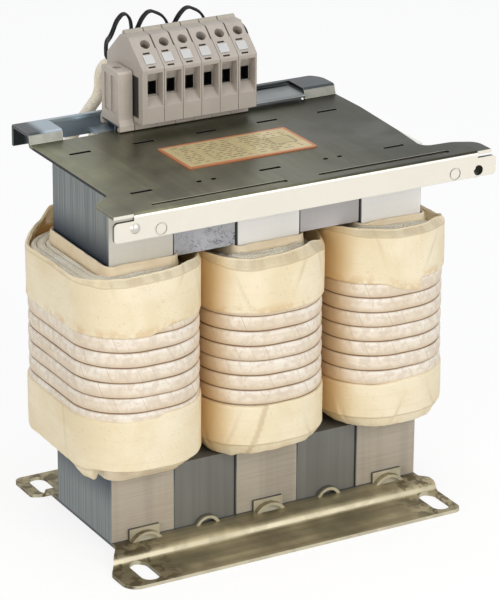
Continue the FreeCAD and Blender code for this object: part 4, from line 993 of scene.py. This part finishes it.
housing_plastic = moulded_plastic("housing plastic", (0.48, 0.43, 0.38), (0.42, 0.375, 0.33), True)
for number in range(1, 7):
    dress("terminal_block_" + str(number), housing_plastic)
dress("terminal_end_plate", housing_plastic)
dress("end_bracket", moulded_plastic("bracket plastic", (0.56, 0.50, 0.44), (0.47, 0.42, 0.365)))
dress("marker_carriers", moulded_plastic("carrier plastic", (0.46, 0.42, 0.35), (0.36, 0.33, 0.27)))
dress("marker_tags", moulded_plastic("marker plastic", (0.62, 0.62, 0.61), (0.54, 0.54, 0.53)))

# Rating plate
# Thin printed foil with a tan field and an orange edge, glued on the top frame. Its fields are
# blank rules.

plate_low, plate_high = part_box("rating_plate")
half = (plate_high - plate_low) / 2
rule_pitch, column_pitch, column_start = 0.0031, 0.027, 0.104
plate_foil, tree, shader = material_with_shader("rating foil")
centred = add(tree, "Mapping", Vector=spot_on(tree), Location=-(plate_low + plate_high) / 2)
where = add(tree, "SeparateXYZ", Vector=centred.outputs[0]).outputs
off_x = distance(tree, where["X"])
off_y = distance(tree, where["Y"])
edge = maths(tree, "MAXIMUM", between(tree, off_x, half.x - 0.0021, half.x - 0.0017),
             between(tree, off_y, half.y - 0.0021, half.y - 0.0017))
cloud = mottled(tree, 60.0)
field = blend(tree, cloud, (0.66, 0.54, 0.27), (0.52, 0.43, 0.22))
# Rows of short blank rules in three columns, and one framed empty field at the right
row = maths(tree, "PINGPONG", maths(tree, "ADD", where["Y"], 0.1), rule_pitch / 2)
cell = maths(tree, "FLOOR", maths(tree, "DIVIDE", where["Y"], rule_pitch))
shifted = add(tree, "CombineXYZ", X=times(tree, where["X"], 260.0), Y=cell)
words = add(tree, "TexNoise", {"noise_dimensions": "2D"}, Vector=shifted.outputs[0], Scale=1.0,
            Detail=0.0)
columns = maths(tree, "PINGPONG", maths(tree, "ADD", where["X"], column_start), column_pitch / 2)
right_end = distance(tree, maths(tree, "SUBTRACT", half.x - 0.0125, where["X"]))
boxed = maths(tree, "MAXIMUM", right_end, times(tree, off_y, 1.25))
inked = times(tree, between(tree, row, 0.00050, 0.00036), between(tree, words.outputs[0], 0.44, 0.50),
              between(tree, columns, 0.0016, 0.0022), between(tree, boxed, 0.0078, 0.0082),
              between(tree, off_x, half.x - 0.0056, half.x - 0.0062),
              between(tree, off_y, half.y - 0.0038, half.y - 0.0044))
inked = maths(tree, "MAXIMUM", inked, span(tree, boxed, (0.0064, 0.0067), (0.0074, 0.0071)))
field = blend(tree, times(tree, inked, 0.9), field, (0.11, 0.075, 0.04))
set_finish(tree, shader, blend(tree, edge, field, (0.56, 0.20, 0.08)),
           between(tree, cloud, 0.0, 1.0, 0.34, 0.5), cloud, 0.2, 0.0002, 0.25)
dress("rating_plate", plate_foil)

# Coil leads
# Stranded copper in a braided cotton sleeve, from the coils up to the rear of the terminals,
# where each one is clamped.

sleeve, tree, shader = material_with_shader("braided sleeve")
where = axes(tree)
braid_fineness = 2600.0
round_it = times(tree, maths(tree, "ADD", where["X"], where["Y"]), braid_fineness)
along_it = times(tree, where["Z"], braid_fineness)
strands = [maths(tree, "SINE", maths(tree, turned, round_it, along_it)) for turned in ("ADD", "SUBTRACT")]
braid = between(tree, times(tree, *strands), -1.0, 1.0)
cloud = mottled(tree, 90.0, 12.0)
colour = blend(tree, cloud, (0.97, 0.90, 0.76), (0.88, 0.79, 0.62))
colour = blend(tree, between(tree, braid, 0.45, 0.0, 0.0, 0.35), colour, (0.58, 0.49, 0.36))
set_finish(tree, shader, colour, 0.7, braid, 0.5, 0.0004)
for side in sides:
    dress("coil_lead_" + side + "_start", sleeve)
    dress("coil_lead_" + side + "_end", sleeve)

# Thin black wires
# Plastic-covered wires of the temperature sensors, looped from clamp to clamp over the roof.
# The last one runs over the end of the row and down to the right coil.

black_cover, tree, shader = material_with_shader("black wire cover")
cloud = place(tree, patches, Scale=400.0)
fill(tree, shader.inputs["Specular IOR Level"], 0.25)
colour = blend(tree, cloud["Value"], (0.006, 0.006, 0.007), (0.016, 0.016, 0.016))
roughness = between(tree, cloud["Value"], 0.0, 1.0, 0.36, 0.50)
set_finish(tree, shader, colour, roughness, cloud["Specks"], 0.1, 0.0001)
for wire in ("1a", "1b", "2a", "2b", "3a", "3b", "4"):
    dress("sensor_wire_" + wire, black_cover)
